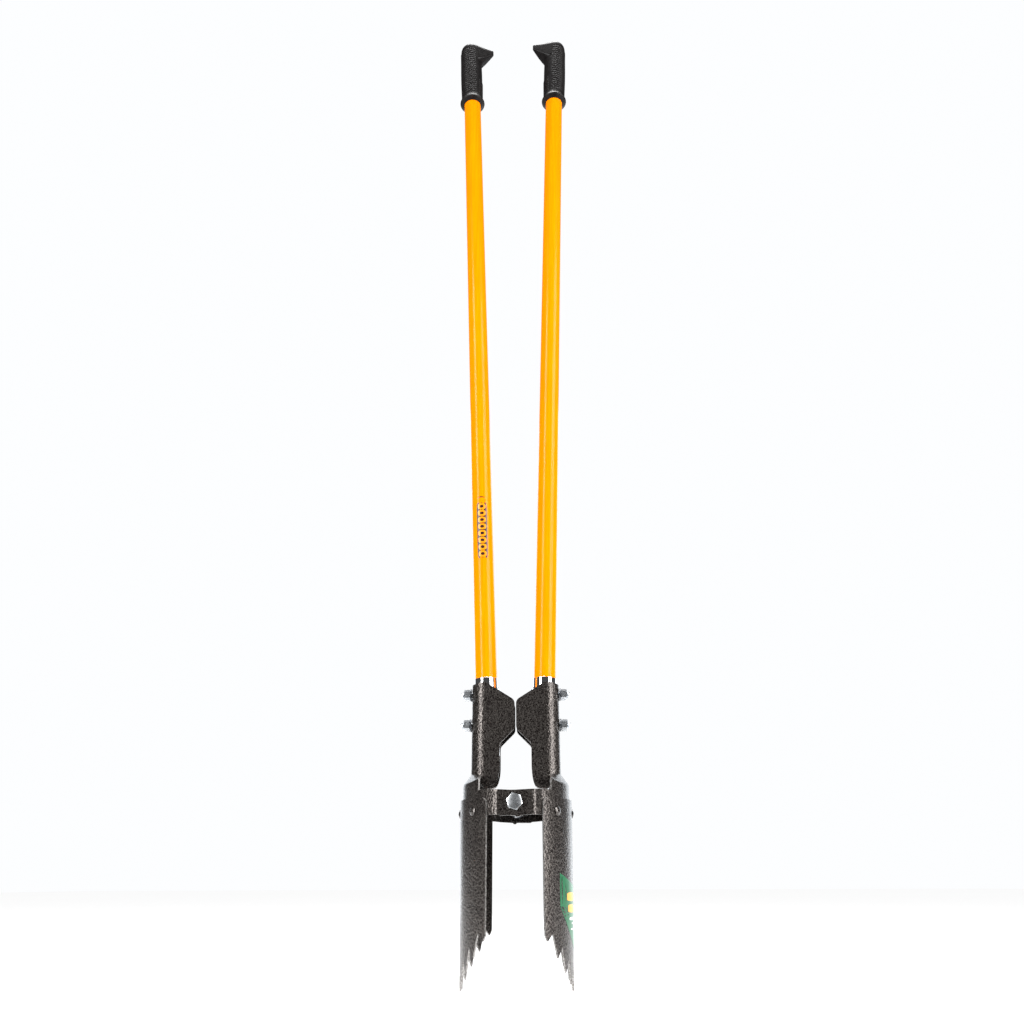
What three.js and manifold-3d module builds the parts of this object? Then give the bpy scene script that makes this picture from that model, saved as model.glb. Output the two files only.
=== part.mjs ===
// Clamshell post hole digger, in millimetres, +Z up.
// Two like halves face each other and cross on a pair of pivot bolts: each half is a curved,
// toothed blade riveted to a pressed steel yoke, and a glass-fibre handle bolted into the yoke.
// The handles stand together, so the yokes' ears rest on each other and the blades are open.
// The origin is on the ground, midway between the blade tips, and the front is towards -Y.

import * as THREE from "three";
import { mergeVertices } from "three/addons/utils/BufferGeometryUtils.js";
import Module from "manifold-3d";

const wasm = await Module();
wasm.setup();

const deg = THREE.MathUtils.degToRad;

// ---- driving dimensions ------------------------------------------------------------------

const gap = 0.3; // clearance between pieces that touch
const margin = 1; // by which cutters pass what they cut

const blade = {
  radius: 80, // outer face
  thickness: 2.5,
  bulge: 69, // outermost distance from the middle plane
  halfAngle: deg(55.9),
  top: 208,
  cornerRadius: 8,
  cornerShares: [1, 0.6, 0.25, 0.06], // columns round an upper corner, from its edge
  teethPerHalf: 5,
  toothPitch: 16.6, // along the curved edge
  edgeTipHeight: 54, // how much higher the outermost tips are than the middle ones
  tipCurve: 1.35, // power of the line that the tips follow
  notchDepth: 25, // at the middle
  notchShallowing: 2, // less depth for each tooth towards the edge
  edgeStart: 60, // height at which the straight side edges end
  taperFrom: 185, // below this height the belly draws in
  taper: 2.6,
};
blade.centre = blade.bulge - blade.radius;
blade.halfLength = blade.radius * blade.halfAngle;

const sheet = 2.8; // thickness of the yoke's steel

const band = {
  radius: blade.radius - blade.thickness - gap - sheet / 2, // middle of the sheet
  bottom: 184, // behind the blade
  top: 226,
  reliefX: 43, // the shoulder and the toes part here
  overlap: 5, // between the shoulder and its neighbours
};
band.halfAngle = Math.acos((band.reliefX - blade.centre) / band.radius);

const pivot = {
  height: 202,
  boltRadius: 5,
  headAcrossFlats: 17,
  headThickness: 6.4,
  nutThickness: 9.4,
  washerRadius: 10,
  washerThickness: 1.6,
  endPastNut: 2.5,
  endChamfer: 1,
  turn: deg(14.6), // of the hexagons about their own axis
};

const arm = {
  innerY: 69, // middle of the inner arm's sheet, beyond the band
  top: 217,
  bottom: 188.5, // at the blade's edge
  topAtPivot: 215.3,
  bottomAtPivot: 186.7,
  outerEnd: -20.5, // past the pivot
  endRounding: 5,
  rootStep: 6, // over which the lower edge meets the band
  overlapAngle: deg(3), // between an arm and the band
  leaveAngle: deg(56.8), // where the outer arm steps out of the band's curve
  stepSlope: deg(50),
  bendRadius: 8,
  innerBendRadius: 10,
};
arm.outerY = arm.innerY + sheet + gap;
arm.innerEndRadius = (arm.topAtPivot - arm.bottomAtPivot) / 2;

const tube = {
  radius: 14.2,
  bore: 11,
  lean: deg(1.87), // away from the middle plane
  offset: 38.9, // of the axis from the middle plane, at the reference height
  reference: 374,
  bottom: -112, // from the reference height, along the tube
  top: 1134,
};

const ferrule = { radius: 15.1, bore: tube.radius + gap, bottom: -111, top: -12.5 };

const socket = {
  innerRadius: ferrule.radius + gap,
  centre: 38.3, // of the rounded back
  top: 354.3,
  earX: 0.9,
  earTop: 331.5,
  earBottom: 294.5,
  earShoulderX: 38.5,
  neckX: 20,
  neckTop: 276.5,
  neckBottom: 242.6,
  toeX: 24,
  toeBottom: 224.6,
  toeRounding: 7,
  cornerRounding: 4,
  shoulderTop: 239,
};
socket.outerRadius = socket.innerRadius + sheet;

const socketBolt = {
  heights: { upper: -33, lower: -72 }, // from the reference height, along the tube
  radius: 4,
  headRadius: 9,
  headHeight: 4,
  washerRadius: 8,
  washerThickness: 1.6,
  nutAcrossFlats: 13,
  nutThickness: 8,
  endPastWall: 14.4,
  endChamfer: 0.8,
};

const rivet = {
  angle: deg(40), // from the middle of the blade
  height: 193,
  shankRadius: 3,
  headRadius: 5.2,
  headHeight: 2.3,
  tailRadius: 4.6,
  tailHeight: 1.8,
  tailRounding: 0.8,
};

const hexChamfer = { land: 0.6, from: 0.62 }; // inside the flats, and as a share of the thickness
const domeShares = [[1, 0], [0.86, 0.5], [0.5, 0.88], [0, 1]]; // of a round head's radius and height

const grip = {
  bottom: 1008, // of the collar, from the reference height, along the tube
  length: 138,
  domeHeight: 14.5,
  // Radius and height of the mouth, the collar, the waist and the palm.
  profile: [
    [16, -3.5], [20.3, 0], [21.3, 1], [21.3, 3.5], [18.8, 8], [17.8, 14], [19.3, 50], [19.3, 72], [19.1, 104],
  ],
  // Reach and height of the horn that points to the other handle, seen from the side.
  horn: [[0, 99], [19, 99], [39, 121.5], [40.5, 125], [36.5, 129.5], [20, 135.3], [0, 137.9]],
  hornHalfWidth: 16.2, // in plan, at the tube's axis
  hornTipHalfWidth: 2.5,
  turn: { right: deg(12), left: deg(3) }, // of the horn from facing the other handle
};
grip.hornReach = Math.max(...grip.horn.map(([reach]) => reach));

const arcSteps = 10; // straight pieces in each curve of an outline in plan
const cornerSteps = 4; // straight pieces in each rounded corner of an outline from the side
const turnSteps = 18; // straight pieces round a lathed piece
const holeSteps = 12; // straight pieces round a drilled hole or a rivet
const tubeSteps = 28; // straight pieces round the handle tube and what fits it

// ---- geometry helpers --------------------------------------------------------------------

// Merges shared vertices, drops triangles that have no area and turns the faces outwards.
function weld(geometry) {
  const bare = new THREE.BufferGeometry();
  bare.setAttribute("position", geometry.getAttribute("position"));
  bare.setIndex(geometry.getIndex());
  const merged = mergeVertices(bare, 1e-4);
  const index = merged.getIndex().array;
  const position = merged.getAttribute("position");
  const corner = [new THREE.Vector3(), new THREE.Vector3(), new THREE.Vector3()];
  const kept = [];
  let volume = 0;
  for (let i = 0; i < index.length; i += 3) {
    const [a, b, c] = [index[i], index[i + 1], index[i + 2]];
    if (a === b || b === c || c === a) continue;
    kept.push(a, b, c);
    [a, b, c].forEach((vertex, k) => corner[k].fromBufferAttribute(position, vertex));
    volume += corner[0].dot(corner[1].cross(corner[2]));
  }
  merged.setIndex(volume < 0 ? kept.reverse() : kept);
  return merged;
}

function toSolid(geometry) {
  const welded = weld(geometry);
  return new wasm.Manifold(
    new wasm.Mesh({
      numProp: 3,
      vertProperties: new Float32Array(welded.getAttribute("position").array),
      triVerts: new Uint32Array(welded.getIndex().array),
    }),
  );
}

function toGeometry(solid) {
  const mesh = solid.getMesh();
  const geometry = new THREE.BufferGeometry();
  geometry.setAttribute("position", new THREE.BufferAttribute(mesh.vertProperties, mesh.numProp));
  geometry.setIndex(new THREE.BufferAttribute(mesh.triVerts, 1));
  return geometry;
}

function shapeOf(points) {
  return new THREE.Shape(points.map(([x, y]) => new THREE.Vector2(x, y)));
}

// An outline in the X-Y plane, raised from low to high.
function raised(shape, low, high) {
  const geometry = new THREE.ExtrudeGeometry(shape, {
    depth: high - low,
    bevelEnabled: false,
    curveSegments: arcSteps,
  });
  return geometry.translate(0, 0, low);
}

// An outline in the X-Z plane, swept along Y from low to high.
function swept(shape, low, high) {
  const geometry = new THREE.ExtrudeGeometry(shape, {
    depth: high - low,
    bevelEnabled: false,
    curveSegments: cornerSteps,
  });
  return geometry.rotateX(Math.PI / 2).translate(0, high, 0);
}

// A body of revolution about Z; the profile is a list of [radius, height].
function turned(profile, steps = turnSteps) {
  const points = profile.map(([radius, height]) => new THREE.Vector2(radius, height));
  return new THREE.LatheGeometry(points, steps).rotateX(Math.PI / 2);
}

function rod(radius, low, high, steps = turnSteps) {
  return turned([[0, low], [radius, low], [radius, high], [0, high]], steps);
}

function ring(innerRadius, outerRadius, low, high, steps = turnSteps) {
  const profile = [[innerRadius, low], [outerRadius, low], [outerRadius, high], [innerRadius, high]];
  return turned([...profile, profile[0]], steps);
}

// A closed sheet between two grids of points with the same rows and columns.
function sheetBetween(outer, inner) {
  const rows = outer.length;
  const columns = outer[0].length;
  const points = [...outer.flat(), ...inner.flat()];
  const innerStart = rows * columns;
  const index = [];
  const quad = (a, b, c, d) => index.push(a, b, c, a, c, d);
  const at = (row, column) => row * columns + column;
  for (let row = 0; row < rows - 1; row += 1) {
    for (let column = 0; column < columns - 1; column += 1) {
      const face = [at(row, column), at(row, column + 1), at(row + 1, column + 1), at(row + 1, column)];
      quad(...face);
      quad(...face.map((vertex) => vertex + innerStart).reverse());
    }
  }
  const rim = [];
  for (let column = 0; column < columns - 1; column += 1) rim.push(at(0, column));
  for (let row = 0; row < rows - 1; row += 1) rim.push(at(row, columns - 1));
  for (let column = columns - 1; column > 0; column -= 1) rim.push(at(rows - 1, column));
  for (let row = rows - 1; row > 0; row -= 1) rim.push(at(row, 0));
  rim.forEach((vertex, k) => {
    const next = rim[(k + 1) % rim.length];
    quad(next, vertex, vertex + innerStart, next + innerStart);
  });
  const geometry = new THREE.BufferGeometry().setFromPoints(points);
  geometry.setIndex(index);
  return geometry;
}

// Both faces of a sheet whose middle surface is a grid of points.
function thickened(grid, thickness) {
  const rows = grid.length;
  const columns = grid[0].length;
  const normalAt = (row, column) => {
    const down = grid[Math.min(row + 1, rows - 1)][column].clone().sub(grid[Math.max(row - 1, 0)][column]);
    const along = grid[row][Math.min(column + 1, columns - 1)].clone().sub(grid[row][Math.max(column - 1, 0)]);
    return down.cross(along).normalize();
  };
  const offset = (distance) =>
    grid.map((line, row) =>
      line.map((point, column) => point.clone().addScaledVector(normalAt(row, column), distance)),
    );
  return sheetBetween(offset(thickness / 2), offset(-thickness / 2));
}

// The outline of a strip of sheet that follows a line of [x, y] points.
function stripShape(line, thickness) {
  const side = (sign) =>
    line.map(([x, y], k) => {
      const [ax, ay] = line[Math.max(k - 1, 0)];
      const [bx, by] = line[Math.min(k + 1, line.length - 1)];
      const length = Math.hypot(bx - ax, by - ay);
      const shift = (sign * thickness) / 2 / length;
      return [x - (by - ay) * shift, y + (bx - ax) * shift];
    });
  return shapeOf([...side(1), ...side(-1).reverse()]);
}

function arcPoints(x, y, radius, from, to, steps) {
  return Array.from({ length: steps + 1 }, (_, k) => {
    const angle = from + ((to - from) * k) / steps;
    return [x + radius * Math.cos(angle), y + radius * Math.sin(angle)];
  });
}

// A closed outline of corners [x, y, setback]; a setback above zero rounds its corner.
function roundedShape(corners) {
  const shape = new THREE.Shape();
  corners.forEach(([x, y, setback = 0], k) => {
    const corner = new THREE.Vector2(x, y);
    const towards = ([toX, toY]) => new THREE.Vector2(toX, toY).sub(corner).setLength(setback).add(corner);
    const enter = towards(corners.at(k - 1));
    const leave = towards(corners[(k + 1) % corners.length]);
    if (k === 0) shape.moveTo(enter.x, enter.y);
    else shape.lineTo(enter.x, enter.y);
    if (setback > 0) shape.quadraticCurveTo(x, y, leave.x, leave.y);
  });
  shape.closePath();
  return shape;
}

// ---- blade -------------------------------------------------------------------------------

function toothTip(tooth) {
  return blade.edgeTipHeight * (tooth / (blade.teethPerHalf - 1)) ** blade.tipCurve;
}

function notchHeight(notch) {
  const depth = blade.notchDepth - blade.notchShallowing * notch;
  return (toothTip(Math.max(notch - 1, 0)) + toothTip(notch)) / 2 + depth;
}

// The saw-toothed lower edge from the middle to the side, as [distance, height].
function lowerEdge() {
  const edge = [];
  for (let tooth = 0; tooth < blade.teethPerHalf; tooth += 1) {
    edge.push([tooth * blade.toothPitch, notchHeight(tooth)]);
    edge.push([(tooth + 0.5) * blade.toothPitch, toothTip(tooth)]);
  }
  edge.push([blade.halfLength, blade.edgeStart]);
  return edge;
}

function heightOn(edge, distance) {
  const next = Math.max(1, edge.findIndex(([d]) => d >= distance - 1e-9));
  const [d0, h0] = edge[next - 1];
  const [d1, h1] = edge[next];
  return h0 + ((h1 - h0) * (distance - d0)) / (d1 - d0);
}

function bladeTopAt(distance) {
  const intoCorner = Math.max(0, distance - (blade.halfLength - blade.cornerRadius));
  return blade.top - blade.cornerRadius + Math.sqrt(blade.cornerRadius ** 2 - intoCorner ** 2);
}

// A point of the blade at a depth below its outer face.
function bladePoint(distance, height, depth) {
  const angle = distance / blade.radius;
  const radius = blade.radius - depth;
  const belly = (Math.cos(angle) - Math.cos(blade.halfAngle)) / (1 - Math.cos(blade.halfAngle));
  const drawnIn = blade.taper * belly * Math.max(0, 1 - height / blade.taperFrom);
  return new THREE.Vector3(blade.centre + radius * Math.cos(angle) - drawnIn, radius * Math.sin(angle), height);
}

function radialHole(radius, angle, height) {
  const cutter = rod(radius, band.radius - sheet, blade.radius + margin, holeSteps);
  return cutter.rotateY(Math.PI / 2).rotateZ(angle).translate(blade.centre, 0, height);
}

function bladeGeometry() {
  const edge = lowerEdge();
  const corner = blade.cornerShares.map((share) => blade.halfLength - share * blade.cornerRadius);
  const half = [...edge.map(([distance]) => distance), ...corner].sort((a, b) => a - b);
  const columns = [...half.slice(1).reverse().map((distance) => -distance), ...half];
  const gridAt = (depth) => {
    const line = (height) => columns.map((d) => bladePoint(d, height(Math.abs(d)), depth));
    return [line(bladeTopAt), line(() => blade.taperFrom), line((d) => heightOn(edge, d))];
  };
  let body = toSolid(sheetBetween(gridAt(0), gridAt(blade.thickness)));
  for (const angle of [-rivet.angle, 0, rivet.angle]) {
    body = body.subtract(toSolid(radialHole(rivet.shankRadius + gap, angle, rivet.height)));
  }
  return toGeometry(body);
}

// ---- yoke --------------------------------------------------------------------------------

// The socket's walls seen from the side: mouth, ears, neck and toes.
function socketSide() {
  const { top, earX, neckX, toeBottom, shoulderTop, cornerRounding, toeRounding } = socket;
  const back = socket.centre + socket.outerRadius + margin;
  return roundedShape([
    [back, top],
    [socket.earShoulderX, top],
    [earX, socket.earTop, cornerRounding],
    [earX, socket.earBottom, cornerRounding],
    [neckX, socket.neckTop, cornerRounding],
    [neckX, socket.neckBottom, toeRounding],
    [socket.toeX, toeBottom, toeRounding],
    [band.reliefX, toeBottom, cornerRounding],
    [band.reliefX, shoulderTop],
    [back, shoulderTop],
  ]);
}

// The U-shaped socket round the handle's foot.
function channel() {
  const { centre, innerRadius, outerRadius } = socket;
  const plan = new THREE.Shape();
  plan.moveTo(0, -outerRadius);
  plan.lineTo(centre, -outerRadius);
  plan.absarc(centre, 0, outerRadius, -Math.PI / 2, Math.PI / 2, false);
  plan.lineTo(0, outerRadius);
  plan.lineTo(0, innerRadius);
  plan.lineTo(centre, innerRadius);
  plan.absarc(centre, 0, innerRadius, Math.PI / 2, -Math.PI / 2, true);
  plan.lineTo(0, -innerRadius);
  plan.closePath();
  const walls = toSolid(raised(plan, socket.toeBottom - margin, socket.top + margin));
  return walls.intersect(toSolid(swept(socketSide(), -outerRadius - margin, outerRadius + margin)));
}

// The shoulder that spreads from the socket's rounded back to the curved band below it.
function shoulder() {
  const upperRadius = (socket.innerRadius + socket.outerRadius) / 2;
  const upperHalfAngle = Math.acos((band.reliefX - socket.centre) / upperRadius);
  const columns = arcSteps + cornerSteps;
  const onSocket = (part, height) => {
    const angle = part * upperHalfAngle;
    const x = socket.centre + upperRadius * Math.cos(angle);
    return new THREE.Vector3(x, upperRadius * Math.sin(angle), height);
  };
  const onBand = (part, height) => {
    const angle = part * band.halfAngle;
    const x = blade.centre + band.radius * Math.cos(angle);
    return new THREE.Vector3(x, band.radius * Math.sin(angle), height);
  };
  const line = (place, height) =>
    Array.from({ length: columns + 1 }, (_, k) => place((2 * k) / columns - 1, height));
  const grid = [
    line(onSocket, socket.shoulderTop + band.overlap),
    line(onSocket, socket.shoulderTop),
    line(onBand, band.top),
    line(onBand, band.top - band.overlap),
    line(onBand, band.bottom),
  ];
  return toSolid(thickened(grid, sheet));
}

// The middle line of an arm in plan, from inside the band's curve to past the pivot.
function armLine(isOuter) {
  const start = band.halfAngle - arm.overlapAngle;
  if (isOuter) {
    const { leaveAngle, stepSlope, bendRadius, outerY } = arm;
    const leaveX = blade.centre + band.radius * Math.cos(leaveAngle);
    const leaveY = band.radius * Math.sin(leaveAngle);
    const bendRise = bendRadius * (1 - Math.cos(stepSlope));
    const bendX = leaveX - (outerY - bendRise - leaveY) / Math.tan(stepSlope);
    const flatX = bendX - bendRadius * Math.sin(stepSlope);
    const up = Math.PI / 2;
    return [
      ...arcPoints(blade.centre, 0, band.radius, start, leaveAngle, 5),
      ...arcPoints(flatX, outerY - bendRadius, bendRadius, up - stepSlope, up, 5),
      [arm.outerEnd, outerY],
    ];
  }
  const { innerBendRadius: bend, innerY } = arm;
  const reach = Math.sqrt((band.radius - bend) ** 2 - (innerY - bend) ** 2);
  const meet = Math.atan2(innerY - bend, reach);
  return [
    ...arcPoints(blade.centre, 0, band.radius, start, meet, 6),
    ...arcPoints(blade.centre + reach, innerY - bend, bend, meet, Math.PI / 2, 4).slice(1),
    [-arm.innerEndRadius, innerY],
  ];
}

// An arm seen from the side; the outer arm ends square and the inner arm ends round.
function armSide(isOuter) {
  const { bottom, top, topAtPivot, bottomAtPivot, outerEnd, endRounding } = arm;
  const root = band.reliefX + band.overlap;
  const rootEdge = blade.centre + blade.radius * Math.cos(blade.halfAngle);
  const square = [
    [0, bottomAtPivot], [outerEnd, bottomAtPivot, endRounding],
    [outerEnd, topAtPivot, endRounding], [0, topAtPivot],
  ];
  const middle = (topAtPivot + bottomAtPivot) / 2;
  const round = arcPoints(0, middle, arm.innerEndRadius, -Math.PI / 2, -1.5 * Math.PI, arcSteps);
  return roundedShape([
    [root, band.bottom], [rootEdge + arm.rootStep, band.bottom], [rootEdge, bottom],
    ...(isOuter ? square : round),
    [rootEdge, top], [root, top],
  ]);
}

function armSolid(isOuter) {
  const strip = raised(stripShape(armLine(isOuter), sheet), band.bottom - margin, arm.top + margin);
  return toSolid(strip).intersect(toSolid(swept(armSide(isOuter), 0, arm.outerY + sheet)));
}

function yokeGeometry() {
  const mirrored = (solid) => solid.mirror([0, 1, 0]);
  let body = channel().add(shoulder()).add(mirrored(armSolid(true))).add(armSolid(false));
  const width = arm.outerY + sheet;
  const across = rod(pivot.boltRadius + gap, -width, width).rotateX(Math.PI / 2);
  body = body.subtract(toSolid(across.translate(0, 0, pivot.height)));
  for (const angle of [-rivet.angle, 0, rivet.angle]) {
    body = body.subtract(toSolid(radialHole(rivet.shankRadius + gap, angle, rivet.height)));
  }
  for (const along of Object.values(socketBolt.heights)) {
    const hole = rod(socketBolt.radius + 2 * gap, 0, 2 * socket.outerRadius, holeSteps);
    hole.rotateY(Math.PI / 2).translate(0, 0, along).applyMatrix4(handleFrame());
    body = body.subtract(toSolid(hole));
  }
  return toGeometry(body);
}

// ---- handle ------------------------------------------------------------------------------

// The handle's own frame: Z along the tube, from the reference height.
function handleFrame() {
  const frame = new THREE.Matrix4().makeRotationY(tube.lean);
  return frame.setPosition(tube.offset, 0, tube.reference);
}

// A tube with the holes of the two socket bolts through it.
function drilled(geometry) {
  let body = toSolid(geometry);
  for (const along of Object.values(socketBolt.heights)) {
    const drill = rod(socketBolt.radius + gap, -2 * tube.radius, 2 * tube.radius, holeSteps);
    body = body.subtract(toSolid(drill.rotateY(Math.PI / 2).translate(0, 0, along)));
  }
  return toGeometry(body);
}

function tubeGeometry() {
  return drilled(ring(tube.bore, tube.radius, tube.bottom, tube.top, tubeSteps));
}

function ferruleGeometry() {
  return drilled(ring(ferrule.bore, ferrule.radius, ferrule.bottom, ferrule.top, tubeSteps));
}

// The horn at the top of a grip, cut to a blunt point in plan.
function gripHorn() {
  const { hornReach: reach, hornHalfWidth: half, hornTipHalfWidth: tip } = grip;
  const side = shapeOf(grip.horn.map(([out, height]) => [-out, height]));
  const plan = shapeOf([[0, -half], [-reach + tip, -tip], [-reach, 0], [-reach + tip, tip], [0, half]]);
  return toSolid(swept(side, -half, half)).intersect(toSolid(raised(plan, 0, grip.length)));
}

function gripGeometry() {
  const { length, domeHeight, profile } = grip;
  const mouth = profile[0][1];
  const domeRadius = profile.at(-1)[0];
  const dome = arcPoints(0, 0, 1, 0, Math.PI / 2, cornerSteps)
    .slice(0, -1)
    .map(([out, up]) => [out * domeRadius, length - domeHeight * (1 - up)]);
  const cavity = rod(tube.radius + gap, mouth - margin, tube.top - grip.bottom + gap, tubeSteps);
  const body = toSolid(turned([[0, mouth], ...profile, ...dome, [0, length]], tubeSteps)).add(gripHorn());
  return toGeometry(body.subtract(toSolid(cavity)));
}

// ---- fasteners ---------------------------------------------------------------------------

// A hexagon from zero to its thickness, with the corners of its upper face chamfered.
function hexSolid(acrossFlats, thickness) {
  const corner = acrossFlats / Math.sqrt(3);
  const flats = arcPoints(0, 0, corner, 0, (5 * Math.PI) / 3, 5);
  const cone = turned([
    [0, -margin], [corner + margin, -margin], [corner + margin, thickness * hexChamfer.from],
    [acrossFlats / 2 - hexChamfer.land, thickness], [0, thickness],
  ]);
  return toSolid(raised(shapeOf(flats), 0, thickness)).intersect(toSolid(cone));
}

function nutGeometry(acrossFlats, boreRadius, thickness) {
  const bore = rod(boreRadius, -margin, thickness + margin);
  return toGeometry(hexSolid(acrossFlats, thickness).subtract(toSolid(bore)));
}

// The far end of a bolt along Z, with its rim chamfered.
function boltEnd(radius, length, chamfer) {
  return [[radius, length - chamfer], [radius - chamfer, length], [0, length]];
}

// Round-headed bolt along Z: the head's seat is at zero and the shank runs upwards.
function carriageBoltGeometry(length) {
  const { radius, headRadius, headHeight, endChamfer } = socketBolt;
  const head = domeShares.map(([out, up]) => [out * headRadius, -up * headHeight]).reverse();
  return turned([...head, [radius, 0], ...boltEnd(radius, length, endChamfer)]);
}

// Hex-headed bolt along Z, seated like the other.
function hexBoltGeometry(length) {
  const { boltRadius, headAcrossFlats, headThickness, endChamfer } = pivot;
  const head = hexSolid(headAcrossFlats, headThickness).mirror([0, 0, 1]);
  const shank = turned([[0, -margin], [boltRadius, -margin], ...boltEnd(boltRadius, length, endChamfer)]);
  return toGeometry(head.add(toSolid(shank)));
}

// Solid rivet along Z: the domed head's seat is at zero and the flattened tail is below.
function rivetGeometry() {
  const { shankRadius, headRadius, headHeight, tailRadius, tailHeight, tailRounding } = rivet;
  const tailSeat = -(blade.thickness + sheet + 3 * gap);
  const end = tailSeat - tailHeight;
  const head = domeShares.map(([out, up]) => [out * headRadius, up * headHeight]);
  return turned([
    [0, end], [tailRadius - tailRounding, end], [tailRadius, end + tailRounding], [tailRadius, tailSeat],
    [shankRadius, tailSeat], [shankRadius, 0], ...head,
  ], holeSteps);
}

// ---- materials ---------------------------------------------------------------------------

const finish = (color, metalness, roughness) => () =>
  new THREE.MeshStandardMaterial({ color, metalness, roughness, flatShading: true });

const hammeredPaint = finish(0x4a4644, 0.35, 0.42);
const yellowGloss = finish(0xf9a516, 0, 0.22);
const chrome = finish(0xe6e8ea, 1, 0.08);
const zinc = finish(0xb4bac2, 0.9, 0.35);
const darkSteel = finish(0x34363a, 0.7, 0.5);
const blackRubber = finish(0x1b1b1c, 0, 0.62);

// ---- assembly ----------------------------------------------------------------------------

function piece(name, geometry, material) {
  const mesh = new THREE.Mesh(weld(geometry), material());
  mesh.name = name;
  return mesh;
}

function addRivets(half, side, ends) {
  const places = { [ends.outer]: -rivet.angle, middle: 0, [ends.inner]: rivet.angle };
  for (const [place, angle] of Object.entries(places)) {
    const seat = blade.radius + gap;
    const mesh = piece(`${side}_rivet_${place}`, rivetGeometry(), hammeredPaint);
    mesh.position.set(blade.centre + seat * Math.cos(angle), seat * Math.sin(angle), rivet.height);
    mesh.rotation.set(0, Math.PI / 2, angle, "ZYX");
    half.add(mesh);
  }
}

function addSocketBolts(handle, side) {
  const wall = socket.centre + socket.outerRadius;
  const seat = ferrule.radius + gap;
  for (const [place, along] of Object.entries(socketBolt.heights)) {
    // The upright wall stands further from the leaning tube lower down.
    const axisX = tube.offset + along * Math.sin(tube.lean);
    const washerAt = (wall - axisX) / Math.cos(tube.lean) + 2 * gap;
    const length = seat + washerAt + socketBolt.endPastWall - 2 * gap;
    const nutAt = washerAt + socketBolt.washerThickness + gap;
    const washer = ring(socketBolt.radius + gap, socketBolt.washerRadius, 0, socketBolt.washerThickness);
    const nut = nutGeometry(socketBolt.nutAcrossFlats, socketBolt.radius + gap, socketBolt.nutThickness);
    const set = [
      [piece(`${side}_${place}_handle_bolt`, carriageBoltGeometry(length), zinc), -seat],
      [piece(`${side}_${place}_handle_washer`, washer, darkSteel), washerAt],
      [piece(`${side}_${place}_handle_nut`, nut, zinc), nutAt],
    ];
    for (const [mesh, x] of set) {
      mesh.position.set(x, 0, along);
      mesh.rotation.y = Math.PI / 2;
      handle.add(mesh);
    }
  }
}

function makeHalf(side, ends) {
  const half = new THREE.Group();
  half.add(piece(`${side}_blade`, bladeGeometry(), hammeredPaint));
  half.add(piece(`${side}_yoke`, yokeGeometry(), hammeredPaint));
  addRivets(half, side, ends);
  const handle = new THREE.Group();
  handle.position.set(tube.offset, 0, tube.reference);
  handle.rotation.y = tube.lean;
  handle.add(piece(`${side}_handle_tube`, tubeGeometry(), yellowGloss));
  handle.add(piece(`${side}_ferrule`, ferruleGeometry(), chrome));
  const rubber = piece(`${side}_grip`, gripGeometry(), blackRubber);
  rubber.position.z = grip.bottom;
  rubber.rotation.z = grip.turn[side];
  handle.add(rubber);
  addSocketBolts(handle, side);
  half.add(handle);
  return half;
}

// One pivot bolt, its head outside the arms and its nut inside; turned round for the rear.
function makePivotBolt(end) {
  const group = new THREE.Group();
  const outside = arm.outerY + sheet / 2 + gap;
  const inside = arm.innerY - sheet / 2 - gap;
  const washerTop = inside - pivot.washerThickness;
  const nutTop = washerTop - gap;
  const length = outside - (nutTop - pivot.nutThickness) + pivot.endPastNut;
  const washer = ring(pivot.boltRadius + gap, pivot.washerRadius, 0, pivot.washerThickness);
  const nut = nutGeometry(pivot.headAcrossFlats, pivot.boltRadius + gap, pivot.nutThickness);
  const set = [
    [piece(`${end}_pivot_bolt`, hexBoltGeometry(length), zinc), outside],
    [piece(`${end}_pivot_washer`, washer, darkSteel), inside],
    [piece(`${end}_pivot_nut`, nut, zinc), nutTop],
  ];
  for (const [mesh, distance] of set) {
    mesh.position.set(0, -distance, pivot.height);
    mesh.rotation.set(-Math.PI / 2, 0, pivot.turn);
    group.add(mesh);
  }
  return group;
}

const digger = new THREE.Group();
digger.add(makeHalf("right", { outer: "front", inner: "rear" }));
const leftHalf = makeHalf("left", { outer: "rear", inner: "front" });
leftHalf.rotation.z = Math.PI;
digger.add(leftHalf);
digger.add(makePivotBolt("front"));
const rearPivot = makePivotBolt("rear");
rearPivot.rotation.z = Math.PI;
digger.add(rearPivot);

export default digger;
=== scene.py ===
"""The finished surfaces of a clamshell post hole digger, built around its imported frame.

Two toothed blades are riveted to pressed yokes, which turn on a pair of pivot bolts; a glass-fibre
handle with a rubber grip is bolted into each yoke. Each piece is made for the right half, and the
left half is the same piece turned half round the upright axis.
"""

from math import acos, asin, atan2, copysign, cos, pi, radians, sin, sqrt, tan

import bmesh
import bpy
import numpy as np
from bpy.props import FloatProperty, FloatVectorProperty, IntProperty, PointerProperty
from bpy.types import Operator, Panel, PropertyGroup
from mathutils import Matrix, Vector


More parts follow.
